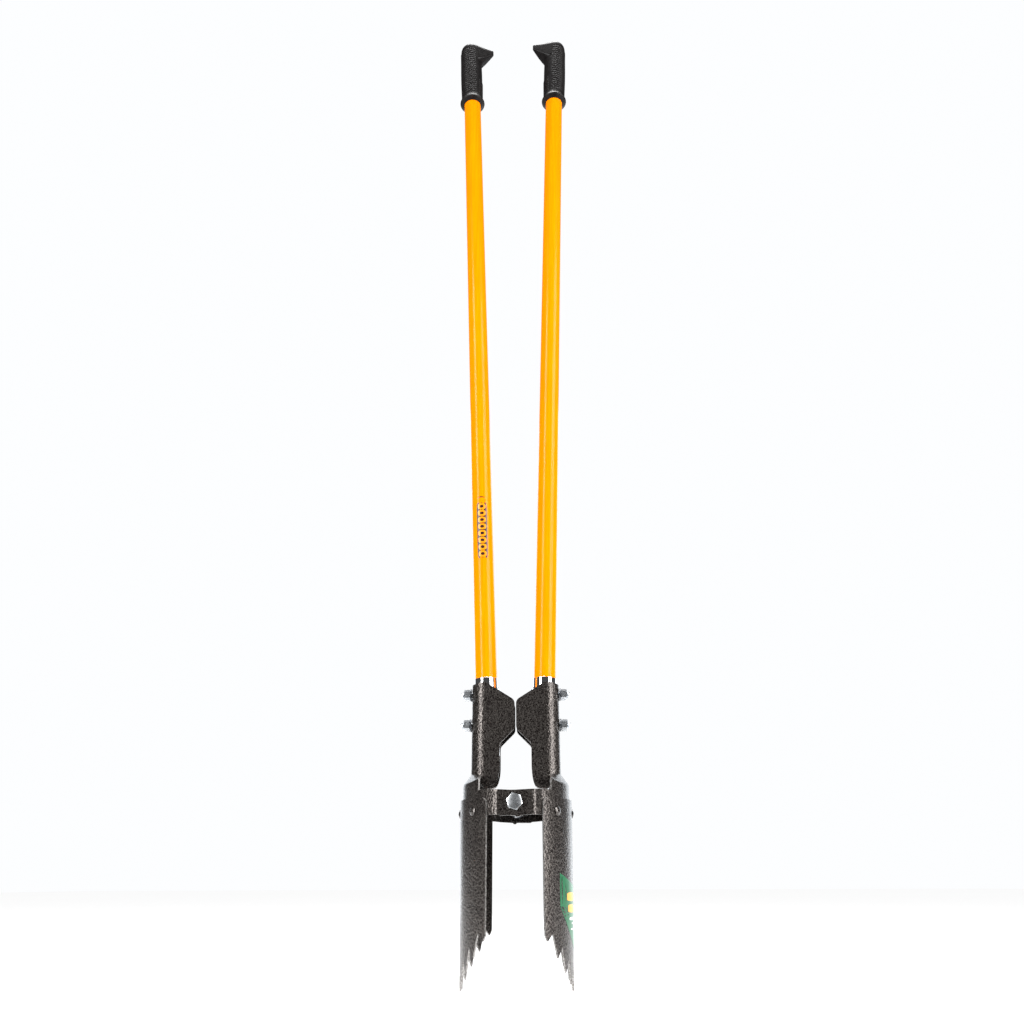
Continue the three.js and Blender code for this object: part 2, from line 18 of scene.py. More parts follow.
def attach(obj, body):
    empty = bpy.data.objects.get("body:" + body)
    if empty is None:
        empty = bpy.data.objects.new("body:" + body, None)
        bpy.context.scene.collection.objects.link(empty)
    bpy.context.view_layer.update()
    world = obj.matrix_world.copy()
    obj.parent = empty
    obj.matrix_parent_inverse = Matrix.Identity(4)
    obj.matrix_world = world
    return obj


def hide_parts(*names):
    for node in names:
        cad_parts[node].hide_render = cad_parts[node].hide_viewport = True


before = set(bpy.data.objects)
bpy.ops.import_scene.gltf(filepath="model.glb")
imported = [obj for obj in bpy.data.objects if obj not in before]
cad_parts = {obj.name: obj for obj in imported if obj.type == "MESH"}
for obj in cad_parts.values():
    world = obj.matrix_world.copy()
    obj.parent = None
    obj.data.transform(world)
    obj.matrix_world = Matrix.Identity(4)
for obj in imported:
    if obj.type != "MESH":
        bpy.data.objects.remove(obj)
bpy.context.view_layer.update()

bl_info = {
    "name": "Post hole digger",
    "version": (1, 0, 0),
    "blender": (4, 5, 0),
    "location": "3D View > Sidebar > Digger",
    "description": "Builds the finished surfaces of a post hole digger around its packed frame",
    "category": "Object",
}

MM = 0.001
GAP = 0.3 * MM  # clearance between pieces that touch
EDGE = 0.45 * MM  # rounding of the sheared edges
THREAD_DEPTH = 0.55 * MM  # how much thinner a bolt's core is than its shank
SIDES = {"right": Matrix.Identity(4), "left": Matrix.Rotation(pi, 4, "Z")}


# ---- settings ----------------------------------------------------------------------------

def length(label, about, millimetres):
    """A length whose default is given in millimetres."""
    return FloatProperty(name=label, description=about, default=millimetres * MM, unit="LENGTH", precision=5)


def angle(label, about, degrees):
    """An angle whose default is given in degrees."""
    return FloatProperty(name=label, description=about, default=radians(degrees), unit="ROTATION")


def number(label, about, value):
    return FloatProperty(name=label, description=about, default=value, precision=3)


def colour(label, about, value):
    return FloatVectorProperty(name=label, description=about, default=value, subtype="COLOR", min=0, max=1)


class BladeSizes(PropertyGroup):
    radius: length("Radius", "Outer face of the blade in plan", 80)
    thickness: length("Thickness", "Steel of the blade", 2.5)
    bulge: length("Bulge", "Outermost distance from the middle plane", 69)
    half_angle: angle("Half angle", "From the middle of the blade to a side edge", 55.9)
    top: length("Top", "Height of the upper edge", 208)
    corner_radius: length("Corner radius", "Rounding of the upper corners", 8)
    teeth: IntProperty(name="Teeth", description="Teeth on each side of the middle", default=5)
    tooth_pitch: length("Tooth pitch", "From tip to tip along the blade", 16.6)
    edge_tip: length("Edge tip", "How much higher the outermost tips are than the middle ones", 54)
    tip_curve: number("Tip curve", "Power of the line that the tips follow", 1.35)
    notch_depth: length("Notch depth", "Depth of the middle notch", 25)
    notch_shallowing: length("Notch shallowing", "Depth lost with each notch towards the edge", 2)
    edge_start: length("Edge start", "Height at which the straight side edges end", 60)
    taper_from: length("Taper from", "Below this height the belly draws in", 185)
    taper: length("Taper", "How far the belly draws in at the ground", 2.6)
    rivet_angle: angle("Rivet angle", "From the middle rivet to the outer ones", 40)
    rivet_height: length("Rivet height", "Height of the row of rivets", 193)


class YokeSizes(PropertyGroup):
    sheet: length("Sheet", "Thickness of the pressed steel", 2.8)
    band_bottom: length("Band bottom", "Lower edge of the band behind the blade", 184)
    band_top: length("Band top", "Crease between the band and the shoulder", 226)
    band_rise: length("Band rise", "How much higher that crease is at its ends", 4.5)
    relief: length("Relief", "Distance from the middle plane at which shoulder and toes part", 43)
    socket_radius: length("Socket radius", "Middle of the sheet round the handle", 16.8)
    socket_centre: length("Socket centre", "Centre of the socket's rounded back", 38.3)
    socket_top: length("Socket top", "Height of the socket's mouth", 354.3)
    mouth_fall: length("Mouth fall", "How much lower the mouth is at the back", 2.2)
    shoulder_top: length("Shoulder top", "Crease between the shoulder and the socket", 239)
    shoulder_fall: length("Shoulder fall", "How much lower that crease is at its ends", 2.5)
    crease: length("Crease", "Length that each crease takes from the faces beside it", 2)
    ear_edge: length("Ear edge", "Distance of the ears from the middle plane", 0.9)
    ear_top: length("Ear top", "Upper corner of the ears", 330.9)
    ear_bottom: length("Ear bottom", "Lower corner of the ears", 294.8)
    neck: length("Neck", "Distance of the neck's edge from the middle plane", 20)
    neck_top: length("Neck top", "Where the ears leave the neck", 276.1)
    toe_bottom: length("Toe bottom", "Lower edge of the toes", 224.6)
    toe_curl: length("Toe curl", "How far the toes' lower edge bends inwards", 2.4)
    inner_arm: length("Inner arm", "Distance of the inner arm's sheet from the axis plane", 69)
    arm_top: length("Arm top", "Upper edge of the arms at their root", 217)
    arm_bottom: length("Arm bottom", "Lower edge of the arms at the blade's edge", 188.5)
    pivot_top: length("Pivot top", "Upper edge of the arms at the pivot", 215.3)
    pivot_bottom: length("Pivot bottom", "Lower edge of the arms at the pivot", 186.7)
    outer_reach: length("Outer reach", "How far the outer arm goes past the pivot", 20.5)
    leave_angle: angle("Leave angle", "Where the outer arm steps out of the band's curve", 56.8)
    step_slope: angle("Step slope", "Slope of that step", 50)
    bend_radius: length("Bend radius", "Bends of the outer arm", 8)
    inner_bend_radius: length("Inner bend radius", "Bend of the inner arm", 10)


class HandleSizes(PropertyGroup):
    radius: length("Radius", "Outside of the tube", 14.2)
    bore: length("Bore", "Inside of the tube", 11)
    lean: angle("Lean", "Away from the middle plane", 1.87)
    offset: length("Offset", "Of the axis from the middle plane at the reference height", 38.9)
    reference: length("Reference", "Height of the handle's own origin", 374)
    bottom: length("Bottom", "Lower end of the tube along itself", -112)
    top: length("Top", "Upper end of the tube along itself", 1134)
    ferrule_radius: length("Ferrule radius", "Outside of the chrome ferrule", 15.1)
    ferrule_bottom: length("Ferrule bottom", "Lower end of the ferrule along the tube", -111)
    ferrule_top: length("Ferrule top", "Upper end of the ferrule along the tube", -12.5)
    badge_bottom: length("Badge bottom", "Lower end of the badge along the tube", 152)
    badge_length: length("Badge length", "Length of the badge along the tube", 84)


class GripSizes(PropertyGroup):
    bottom: length("Bottom", "Lower end of the grip along the tube", 1008)
    length: length("Length", "From the collar to the crown", 137.9)
    collar: length("Collar", "Radius of the collar", 21.3)
    mouth: length("Mouth", "How far the mouth round the tube stands below the collar", 3.5)
    waist: length("Waist", "Radius above the collar", 17.8)
    waist_height: length("Waist height", "Where the collar ends", 14)
    palm: length("Palm", "Radius in the palm", 18.5)
    crown: length("Crown", "Radius below the crown", 18.2)
    dome: length("Dome", "Height of the domed crown", 14.5)
    throat: length("Throat", "Height at which the horn leaves the grip", 99)
    horn_low: length("Horn low", "Height of the lower side of the horn's tip", 121.5)
    horn_high: length("Horn high", "Height of the upper side of the horn's tip", 129.5)
    reach: length("Reach", "From the tube's axis to the tip of the horn", 40.5)
    horn_tip: length("Horn tip", "Radius of the end of the horn in plan", 2.5)
    dome_fullness: number("Dome fullness", "Power of the crown's curve; 1 is round and less is squarer", 0.78)
    horn_fullness: number("Horn fullness", "Power of the same curve along the horn", 1.2)
    turn_right: angle("Turn, right", "How far the right horn is turned from facing the other", 12)
    turn_left: angle("Turn, left", "How far the left horn is turned from facing the other", 3)
    rib_pitch: length("Rib pitch", "From rib to rib", 4.8)
    rib_size: length("Rib size", "Radius of a rib's round section", 1.2)
    rib_height: length("Rib height", "How far the ribs stand out at their ends", 0.6)
    rib_shift: length("Rib shift", "How much further they stand out at their middle", 0.25)
    rib_sweep: angle("Rib sweep", "How far round the grip the ribs go", 232)
    low_rib_sweep: angle("Low rib sweep", "How far round the short ribs above the collar go", 96)


class FastenerSizes(PropertyGroup):
    pivot_height: length("Pivot height", "Height of the pivot bolts", 202)
    pivot_radius: length("Pivot radius", "Thread of the pivot bolts", 5)
    pivot_head: length("Pivot head", "Across the flats", 17)
    pivot_head_height: length("Pivot head height", "Thickness of the hexagon head", 6.4)
    pivot_nut_height: length("Pivot nut height", "Thickness of the locking nut", 9.4)
    pivot_washer: length("Pivot washer", "Outer radius", 10)
    pivot_turn: angle("Pivot turn", "Of the hexagons about their axis", 14.6)
    bolt_upper: length("Upper bolt", "Along the tube from its reference height", -33)
    bolt_lower: length("Lower bolt", "Along the tube from its reference height", -72)
    bolt_radius: length("Bolt radius", "Thread of the handle bolts", 4)
    bolt_head: length("Bolt head", "Radius of the round head", 9)
    bolt_head_height: length("Bolt head height", "Height of the round head", 4)
    bolt_past_wall: length("Bolt past wall", "From the socket's wall to the end of the bolt", 14.4)
    nut: length("Nut", "Across the flats", 13)
    nut_height: length("Nut height", "Thickness of the nut", 8)
    washer: length("Washer", "Outer radius", 8)
    washer_height: length("Washer height", "Thickness of the washers", 1.6)
    thread_pitch: length("Thread pitch", "Rise of a turn of thread", 1.25)
    rivet_head: length("Rivet head", "Radius of the rivets' domed heads", 5.2)
    rivet_head_height: length("Rivet head height", "Height of the domed heads", 2.3)
    rivet_shank: length("Rivet shank", "Radius of the rivets' shanks", 3)


class FinishColours(PropertyGroup):
    paint: colour("Paint", "Hammered paint", (0.014, 0.010, 0.009))
    paint_light: colour("Paint, light", "Raised mottling of the hammered paint", (0.12, 0.108, 0.099))
    # Edge colour: lighter than the paint, partly for steel worn bare on the edges and partly as a painted
    # highlight, the bright line that the edges catch from the floor.
    cut_edge: colour("Edge wear and highlight", "Sheared edges of the steel", (0.42, 0.41, 0.40))
    handle: colour("Handle", "Glass-fibre tube", (1.0, 0.24, 0.0))
    handle_light: colour("Handle, light", "Streaks in the tube", (1.0, 0.30, 0.0))
    rubber: colour("Rubber", "Grips", (0.004, 0.003, 0.003))
    zinc: colour("Zinc", "Plated bolts and nuts", (0.80, 0.83, 0.86))
    chrome: colour("Chrome", "Ferrules", (0.90, 0.91, 0.92))
    dark_steel: colour("Dark steel", "Washers", (0.10, 0.105, 0.115))
    label: colour("Label", "Ground of the label", (0.006, 0.12, 0.045))
    label_bars: colour("Label bars", "Thick bars of the label", (0.90, 0.36, 0.03))
    label_lines: colour("Label lines", "Thin bars of the label", (0.80, 0.80, 0.80))
    badge: colour("Badge", "Marks on the tube", (0.03, 0.012, 0.008))


class StageSettings(PropertyGroup):
    camera_place: FloatVectorProperty(
        name="Camera place", description="Where the camera stands", subtype="TRANSLATION",
        default=(0.0296, -1.1514, 0.1145))
    camera_tilt: angle("Camera tilt", "Upwards from level", 22.85)
    camera_turn: angle("Camera turn", "Towards the left half", 1.675)
    camera_roll: angle("Camera roll", "About the line of sight", -0.16)
    lens: number("Lens", "Focal length in millimetres on a 36 mm sensor", 30.94)
    floor_size: length("Floor size", "Width and length of the floor", 16000)
    floor_front: length("Floor front", "How far the floor comes forward of the object", 280)
    floor: colour("Floor", "Colour of the floor", (0.93, 0.93, 0.93))
    aim: length("Aim", "Height that the lights face", 550)
    surround: number("Surround", "Brightness of the room in reflections", 0.07)
    sky: number("Sky", "Strength of the soft light from above", 3.3)
    sky_angle: angle("Sky angle", "How wide that light is", 30)


class DiggerSettings(PropertyGroup):
    blade: PointerProperty(type=BladeSizes, name="Blade", description="Sizes of the blades")
    yoke: PointerProperty(type=YokeSizes, name="Yoke", description="Sizes of the yokes")
    handle: PointerProperty(type=HandleSizes, name="Handle", description="Sizes of the handles")
    grip: PointerProperty(type=GripSizes, name="Grip", description="Sizes of the grips")
    fastener: PointerProperty(type=FastenerSizes, name="Fasteners", description="Sizes of the fasteners")
    finish: PointerProperty(type=FinishColours, name="Finish", description="Colours of the finishes")
    stage: PointerProperty(type=StageSettings, name="Stage", description="Camera, floor and light")


def settings():
    return bpy.context.scene.digger


# ---- mesh helpers ------------------------------------------------------------------------

def make_object(name, points, faces, materials=()):
    mesh = bpy.data.meshes.new(name)
    mesh.from_pydata([tuple(p) for p in points], [], faces)
    mesh.update()
    for material in materials:
        mesh.materials.append(material)
    piece = bpy.data.objects.new(name, mesh)
    bpy.context.scene.collection.objects.link(piece)
    return piece


def grid_faces(rows, columns, closed=False):
    """Faces of a grid of points in row order; a closed grid joins its last column to its first."""
    faces = []
    for row in range(rows - 1):
        for column in range(columns if closed else columns - 1):
            after = (column + 1) % columns
            here, above = row * columns, (row + 1) * columns
            faces.append((here + column, here + after, above + after, above + column))
    return faces


def turned(profile, steps, name="turned", materials=()):
    """A body of revolution about Z. A profile that starts and ends on the axis closes at its poles."""
    points = []
    for radius, height in profile:
        for step in range(steps):
            around = 2 * pi * step / steps
            points.append((radius * cos(around), radius * sin(around), height))
    faces = grid_faces(len(profile), steps, closed=True)
    piece = make_object(name, points, faces, materials)
    weld(piece)
    return piece


def weld(piece, distance=0.002 * MM):
    """Merges coincident vertices, drops empty faces and turns the faces outwards."""
    shell = bmesh.new()
    shell.from_mesh(piece.data)
    bmesh.ops.remove_doubles(shell, verts=shell.verts, dist=distance)
    bmesh.ops.dissolve_degenerate(shell, dist=distance, edges=shell.edges)
    bmesh.ops.recalc_face_normals(shell, faces=shell.faces)
    shell.to_mesh(piece.data)
    shell.free()


def arc(centre_x, centre_y, radius, start, end, steps):
    angles = np.linspace(start, end, steps + 1)
    return [(centre_x + radius * cos(a), centre_y + radius * sin(a)) for a in angles]


def rounded(corners, setbacks, steps=6):
    """A line through its corners, each rounded by a curve that starts its setback away."""
    points = [Vector(corners[0])]
    for before, corner, after, setback in zip(corners, corners[1:], corners[2:], setbacks):
        before, corner, after = Vector(before), Vector(corner), Vector(after)
        if not setback:
            points.append(corner)
            continue
        enter = corner + (before - corner).normalized() * setback
        leave = corner + (after - corner).normalized() * setback
        for step in range(steps + 1):
            t = step / steps
            points.append(enter * (1 - t) ** 2 + corner * 2 * t * (1 - t) + leave * t ** 2)
    points.append(Vector(corners[-1]))
    return points


def add_modifier(piece, kind, **values):
    modifier = piece.modifiers.new(kind.title(), kind)
    for key, value in values.items():
        setattr(modifier, key, value)
    return modifier


def make_plain(piece):
    """Turns what the modifiers make into the piece's own mesh."""
    bpy.context.view_layer.update()
    evaluated = piece.evaluated_get(bpy.context.evaluated_depsgraph_get())
    mesh = bpy.data.meshes.new_from_object(evaluated)
    piece.modifiers.clear()
    piece.data = mesh
    return piece


def soften(piece, width):
    """Rounds the piece's sharp edges and keeps its flat faces flat."""
    add_modifier(piece, "BEVEL", width=width, segments=2, limit_method="ANGLE",
                 angle_limit=radians(50), miter_outer="MITER_ARC")
    piece.data.shade_smooth()
    add_modifier(piece, "WEIGHTED_NORMAL", weight=60, keep_sharp=True)
    return make_plain(piece)


def smooth(piece, limit=40):
    piece.data.shade_smooth()
    piece.data.set_sharp_from_angle(angle=radians(limit))
    return piece


def join(name, parts):
    """One object that holds the meshes of several, which are removed."""
    merged = bmesh.new()
    materials = []
    for part in parts:
        offset = len(materials)
        materials += list(part.data.materials)
        first = len(merged.faces)
        merged.from_mesh(part.data)
        merged.faces.ensure_lookup_table()
        for face in merged.faces[first:]:
            face.material_index += offset
    mesh = bpy.data.meshes.new(name)
    merged.to_mesh(mesh)
    merged.free()
    for material in materials:
        mesh.materials.append(material)
    for part in parts:
        discard(part)
    piece = bpy.data.objects.new(name, mesh)
    bpy.context.scene.collection.objects.link(piece)
    return piece


def discard(piece):
    mesh = piece.data
    bpy.data.objects.remove(piece)
    bpy.data.meshes.remove(mesh)


def settle(piece, body, nodes):
    """The piece stands for CAD nodes and rides on a body."""
    if nodes:
        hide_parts(*nodes)
    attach(piece, body)
    return piece


def settle_halves(piece, nodes):
    """Copies a piece of the right half to both halves and removes it."""
    for side, turn in SIDES.items():
        mesh = piece.data.copy()
        mesh.transform(turn)
        copy = bpy.data.objects.new(f"{side}_{piece.name}", mesh)
        bpy.context.scene.collection.objects.link(copy)
        settle(copy, f"{side}_half", [f"{side}_{node}" for node in nodes])
    discard(piece)


def handle_frame():
    """The handle's own frame: Z along the tube, from the reference height."""
    handle = settings().handle
    return Matrix.Translation((handle.offset, 0, handle.reference)) @ Matrix.Rotation(handle.lean, 4, "Y")


# ---- node trees --------------------------------------------------------------------------

class Tree:
    """A geometry node tree with named inputs, which ends in one mesh with one finish."""

    def __init__(self, name, inputs):
        self.group = bpy.data.node_groups.new(name, "GeometryNodeTree")
        interface = self.group.interface
        interface.new_socket("Geometry", in_out="OUTPUT", socket_type="NodeSocketGeometry")
        interface.new_socket("Geometry", in_out="INPUT", socket_type="NodeSocketGeometry")
        for label, kind in {**inputs, "Finish": "Material"}.items():
            interface.new_socket(label, in_out="INPUT", socket_type=f"NodeSocket{kind}")
        self.inputs = self.add("NodeGroupInput").outputs

    def add(self, kind, values=None, **options):
        """A node with its options set, its inputs given values or joined to other sockets."""
        node = self.group.nodes.new(kind)
        for key, value in options.items():
            setattr(node, key, value)
        for key, value in (values or {}).items():
            if isinstance(value, bpy.types.NodeSocket):
                self.group.links.new(value, node.inputs[key])
            else:
                node.inputs[key].default_value = value
        return node

    def math(self, operation, first, second):
        return self.add("ShaderNodeMath", {0: first, 1: second}, operation=operation).outputs[0]

    def end(self, geometry):
        realized = self.add("GeometryNodeRealizeInstances", {"Geometry": geometry})
        painted = self.add("GeometryNodeSetMaterial",
                           {"Geometry": realized.outputs[0], "Material": self.inputs["Finish"]})
        self.add("NodeGroupOutput", {"Geometry": painted.outputs[0]})
        return self.group


def grow(piece, tree, **values):
    """Runs a node tree on a piece, with its inputs set by their names, and keeps the result."""
    modifier = piece.modifiers.new(tree.name, "NODES")
    modifier.node_group = tree
    for item in tree.interface.items_tree:
        key = item.name.lower().replace(" ", "_")
        if item.in_out == "INPUT" and key in values:
            modifier[item.identifier] = values.pop(key)
    if values:
        raise ValueError(f"{tree.name} has no inputs named {sorted(values)}")
    return make_plain(piece)


def tree_named(name, build):
    return bpy.data.node_groups.get(name) or build(name)


def repeat_tree(name):
    """Copies of one piece on guide points, each turned by its point's turn."""
    tree = Tree(name, {"Blank": "Object"})
    piece = tree.add("GeometryNodeObjectInfo", {"Object": tree.inputs["Blank"]})
    turn = tree.add("GeometryNodeInputNamedAttribute", {"Name": "turn"}, data_type="FLOAT_VECTOR")
    rotation = tree.add("FunctionNodeEulerToRotation", {"Euler": turn.outputs["Attribute"]})
    copies = tree.add("GeometryNodeInstanceOnPoints", {
        "Points": tree.inputs["Geometry"],
        "Instance": piece.outputs["Geometry"],
        "Rotation": rotation.outputs[0],
    })
    return tree.end(copies.outputs[0])


def thread_tree(name):
    """Adds a screw thread to a plain shank that stands along Z."""
    tree = Tree(name, {"Radius": "Float", "Depth": "Float", "Pitch": "Float", "Start": "Float",
                       "Length": "Float"})
    turns = tree.math("DIVIDE", tree.inputs["Length"], tree.inputs["Pitch"])
    path = tree.add("GeometryNodeCurveSpiral", {
        "Resolution": 20, "Rotations": turns, "Height": tree.inputs["Length"],
        "Start Radius": tree.inputs["Radius"], "End Radius": tree.inputs["Radius"],
    })
    section = tree.add("GeometryNodeCurvePrimitiveCircle", {"Resolution": 4, "Radius": tree.inputs["Depth"]})
    ridge = tree.add("GeometryNodeCurveToMesh", {
        "Curve": path.outputs[0], "Profile Curve": section.outputs[0], "Fill Caps": True})
    offset = tree.add("ShaderNodeCombineXYZ", {"Z": tree.inputs["Start"]})
    placed = tree.add("GeometryNodeTransform", {
        "Geometry": ridge.outputs[0], "Translation": offset.outputs[0]})
    both = tree.add("GeometryNodeJoinGeometry")
    tree.group.links.new(placed.outputs[0], both.inputs[0])
    tree.group.links.new(tree.inputs["Geometry"], both.inputs[0])
    return tree.end(both.outputs[0])


def rib_tree(name):
    """Ribs round a grip, one on each guide point, that sink into the rubber at their ends."""
    tree = Tree(name, {"Radius": "Float", "Size": "Float", "Shift": "Float", "Sweep": "Float"})
    back = tree.math("MULTIPLY", tree.inputs["Sweep"], -0.5)
    path = tree.add("GeometryNodeCurveArc", {
        "Resolution": 40, "Radius": tree.inputs["Radius"], "Start Angle": back,
        "Sweep Angle": tree.inputs["Sweep"]})
    section = tree.add("GeometryNodeCurvePrimitiveCircle", {"Resolution": 8, "Radius": tree.inputs["Size"]})
    rib = tree.add("GeometryNodeCurveToMesh", {
        "Curve": path.outputs[0], "Profile Curve": section.outputs[0], "Fill Caps": True})
    offset = tree.add("ShaderNodeCombineXYZ", {"X": tree.inputs["Shift"]})
    placed = tree.add("GeometryNodeTransform", {
        "Geometry": rib.outputs[0], "Translation": offset.outputs[0]})
    girth = tree.add("GeometryNodeInputNamedAttribute", {"Name": "girth"}, data_type="FLOAT")
    turn = tree.add("GeometryNodeInputNamedAttribute", {"Name": "turn"}, data_type="FLOAT_VECTOR")
    rotation = tree.add("FunctionNodeEulerToRotation", {"Euler": turn.outputs["Attribute"]})
    spread = tree.add("ShaderNodeCombineXYZ", {
        "X": girth.outputs["Attribute"], "Y": girth.outputs["Attribute"], "Z": 1.0})
    copies = tree.add("GeometryNodeInstanceOnPoints", {
        "Points": tree.inputs["Geometry"], "Instance": placed.outputs[0],
        "Rotation": rotation.outputs[0], "Scale": spread.outputs[0]})
    return tree.end(copies.outputs[0])


def guide(name, places, turns, girths=None):
    """Points for a node tree, each with a turn as Euler angles and, for ribs, a girth."""
    points = make_object(name, places, [])
    turn = points.data.attributes.new("turn", "FLOAT_VECTOR", "POINT")
    turn.data.foreach_set("vector", [value for one in turns for value in one])
    if girths is not None:
        girth = points.data.attributes.new("girth", "FLOAT", "POINT")
        girth.data.foreach_set("value", girths)
    return points


def repeat(name, master, places, turns, material):
    """One object with a copy of the master at each place; the master is removed."""
    copies = guide(name, places, turns)
    grow(copies, tree_named("Repeat a piece", repeat_tree), blank=master, finish=material)
    discard(master)
    return smooth(copies)


# ---- finishes ----------------------------------------------------------------------------

class Finish:
    """A material with one principled shader, and short ways to add the nodes that feed it."""

    def __init__(self, name, **values):
        self.material = bpy.data.materials.new(name)
        self.material.use_nodes = True
        self.nodes = self.material.node_tree.nodes
        self.links = self.material.node_tree.links
        self.shader = self.nodes["Principled BSDF"]
        self.place = self.add("ShaderNodeTexCoord").outputs["Object"]
        for key, value in values.items():
            self.set(key.replace("_", " ").title().replace("Ior", "IOR"), value)

    def set(self, key, value):
        if isinstance(value, bpy.types.NodeSocket):
            self.links.new(value, self.shader.inputs[key])
        else:
            wide = key in ("Base Color", "Specular Tint", "Sheen Tint", "Coat Tint")
            self.shader.inputs[key].default_value = (*value, 1) if wide else value

    def add(self, kind, values=None, **options):
        node = self.nodes.new(kind)
        for key, value in options.items():
            setattr(node, key, value)
        for key, value in (values or {}).items():
            if isinstance(value, bpy.types.NodeSocket):
                self.links.new(value, node.inputs[key])
            else:
                node.inputs[key].default_value = value
        return node

    def noise(self, size, detail=3.0, roughness=0.55, place=None):
        node = self.add("ShaderNodeTexNoise", {
            "Vector": place or self.place, "Scale": 1 / size, "Detail": detail, "Roughness": roughness})
        return node.outputs["Fac"]

    def stretch(self, x, y, z):
        node = self.add("ShaderNodeMapping", {"Vector": self.place, "Scale": (x, y, z)})
        return node.outputs[0]

    def remap(self, value, low, high, to_low=0.0, to_high=1.0):
        node = self.add("ShaderNodeMapRange", {
            "Value": value, "From Min": low, "From Max": high, "To Min": to_low, "To Max": to_high})
        return node.outputs[0]

    def blend(self, factor, first, second):
        node = self.add("ShaderNodeMix", data_type="RGBA")
        for socket, value in ((node.inputs[0], factor), (node.inputs[6], first), (node.inputs[7], second)):
            if isinstance(value, bpy.types.NodeSocket):
                self.links.new(value, socket)
            elif isinstance(value, float):
                socket.default_value = value
            else:
                socket.default_value = (*value, 1)
        return node.outputs[2]

    def math(self, operation, first, second=0.0):
        return self.add("ShaderNodeMath", {0: first, 1: second}, operation=operation).outputs[0]

    def bump(self, height, depth, strength=1.0, normal=None):
        values = {"Height": height, "Distance": depth, "Strength": strength}
        if normal is not None:
            values["Normal"] = normal
        return self.add("ShaderNodeBump", values).outputs[0]


def finish_named(name, build):
    return bpy.data.materials.get(name) or build(name)


def hammer_cells(finish, size):
    """Rounded dimples of uneven size, as hammered paint dries."""
    wander = finish.add("ShaderNodeTexNoise", {"Vector": finish.place, "Scale": 0.6 / size, "Detail": 2.0})
    moved = finish.add("ShaderNodeVectorMath", {0: wander.outputs["Color"], 1: (size, size, size)},
                       operation="MULTIPLY")
    place = finish.add("ShaderNodeVectorMath", {0: finish.place, 1: moved.outputs[0]}, operation="ADD")
    cells = finish.add("ShaderNodeTexVoronoi",
                       {"Vector": place.outputs[0], "Scale": 1 / size, "Smoothness": 0.6, "Randomness": 1.0},
                       feature="SMOOTH_F1")
    return cells.outputs["Distance"]


def hammered_paint(name):
    colours = settings().finish
    finish = Finish(name, metallic=0.75, coat_weight=0.15, coat_roughness=0.2)
    dimple_size = 2.6 * MM
    cells = hammer_cells(finish, dimple_size)
    fine = finish.noise(1.2 * MM, detail=2.0)
    cloud = finish.noise(28 * MM, detail=4.0)
    raised = finish.remap(cells, 0.24, 0.50)
    speckle = finish.math("MULTIPLY", raised, finish.remap(fine, 0.38, 0.60, 0.2, 1.0))
    mottled = finish.blend(speckle, colours.paint, colours.paint_light)
    dull = finish.blend(finish.remap(cloud, 0.35, 0.75, 0.0, 0.3), mottled, colours.paint)
    finish.set("Base Color", dull)
    finish.set("Roughness", finish.remap(fine, 0.3, 0.7, 0.22, 0.36))
    dimples = finish.bump(cells, 0.6 * MM, 0.7)
    finish.set("Normal", finish.bump(fine, 0.10 * MM, 0.5, dimples))
    return finish.material


def cut_edge(name):
    colours = settings().finish
    finish = Finish(name, metallic=0.6)
    # Patches of the lighter edge colour: worn paint and, in part, a painted highlight along the sheared
    # edges.
    edge_noise = finish.noise(1.4 * MM, detail=4.0, roughness=0.7)
    bare_and_highlight = finish.remap(edge_noise, 0.44, 0.58)
    finish.set("Base Color", finish.blend(bare_and_highlight, colours.paint_light, colours.cut_edge))
    finish.set("Roughness", finish.remap(edge_noise, 0.3, 0.7, 0.32, 0.5))
    finish.set("Normal", finish.bump(edge_noise, 0.12 * MM, 0.6))
    return finish.material


def rivet_paint(name):
    colours = settings().finish
    finish = Finish(name, metallic=0.8, coat_weight=0.5, coat_roughness=0.12)
    fine = finish.noise(1.6 * MM, detail=3.0)
    raised = finish.remap(fine, 0.4, 0.65)
    finish.set("Base Color", finish.blend(raised, colours.paint, colours.paint_light))
    finish.set("Roughness", finish.remap(fine, 0.3, 0.7, 0.2, 0.34))
    finish.set("Normal", finish.bump(fine, 0.15 * MM, 0.5))
    return finish.material


def glass_fibre(name):
    colours = settings().finish
    finish = Finish(name, roughness=0.16, specular_ior_level=0.12)
    streaks = finish.noise(1.0, detail=4.0, place=finish.stretch(700, 700, 9))
    cloud = finish.noise(60 * MM, detail=2.0)
    patches = finish.remap(cloud, 0.3, 0.7, 0.5, 1.0)
    share = finish.math("MULTIPLY", finish.remap(streaks, 0.35, 0.65), patches)
    finish.set("Base Color", finish.blend(share, colours.handle, colours.handle_light))
    finish.set("Normal", finish.bump(streaks, 0.03 * MM, 0.25))
    return finish.material


def chrome(name):
    finish = Finish(name, metallic=1.0, base_color=settings().finish.chrome)
    haze = finish.noise(2.5 * MM, detail=5.0, roughness=0.7)
    finish.set("Roughness", finish.remap(haze, 0.4, 0.7, 0.04, 0.11))
    return finish.material


def zinc_plate(name):
    colours = settings().finish
    finish = Finish(name, metallic=1.0)
    grain = finish.noise(0.7 * MM, detail=4.0, roughness=0.65)
    cloud = finish.noise(5 * MM, detail=2.0)
    dull = tuple(0.72 * part for part in colours.zinc)
    finish.set("Base Color", finish.blend(finish.remap(cloud, 0.3, 0.7), dull, colours.zinc))
    finish.set("Roughness", finish.remap(grain, 0.3, 0.7, 0.2, 0.38))
    finish.set("Normal", finish.bump(grain, 0.04 * MM, 0.5))
    return finish.material


def dark_steel(name):
    finish = Finish(name, metallic=0.9, base_color=settings().finish.dark_steel)
    grain = finish.noise(0.8 * MM, detail=4.0)
    finish.set("Roughness", finish.remap(grain, 0.3, 0.7, 0.3, 0.5))
    finish.set("Normal", finish.bump(grain, 0.05 * MM, 0.5))
    return finish.material


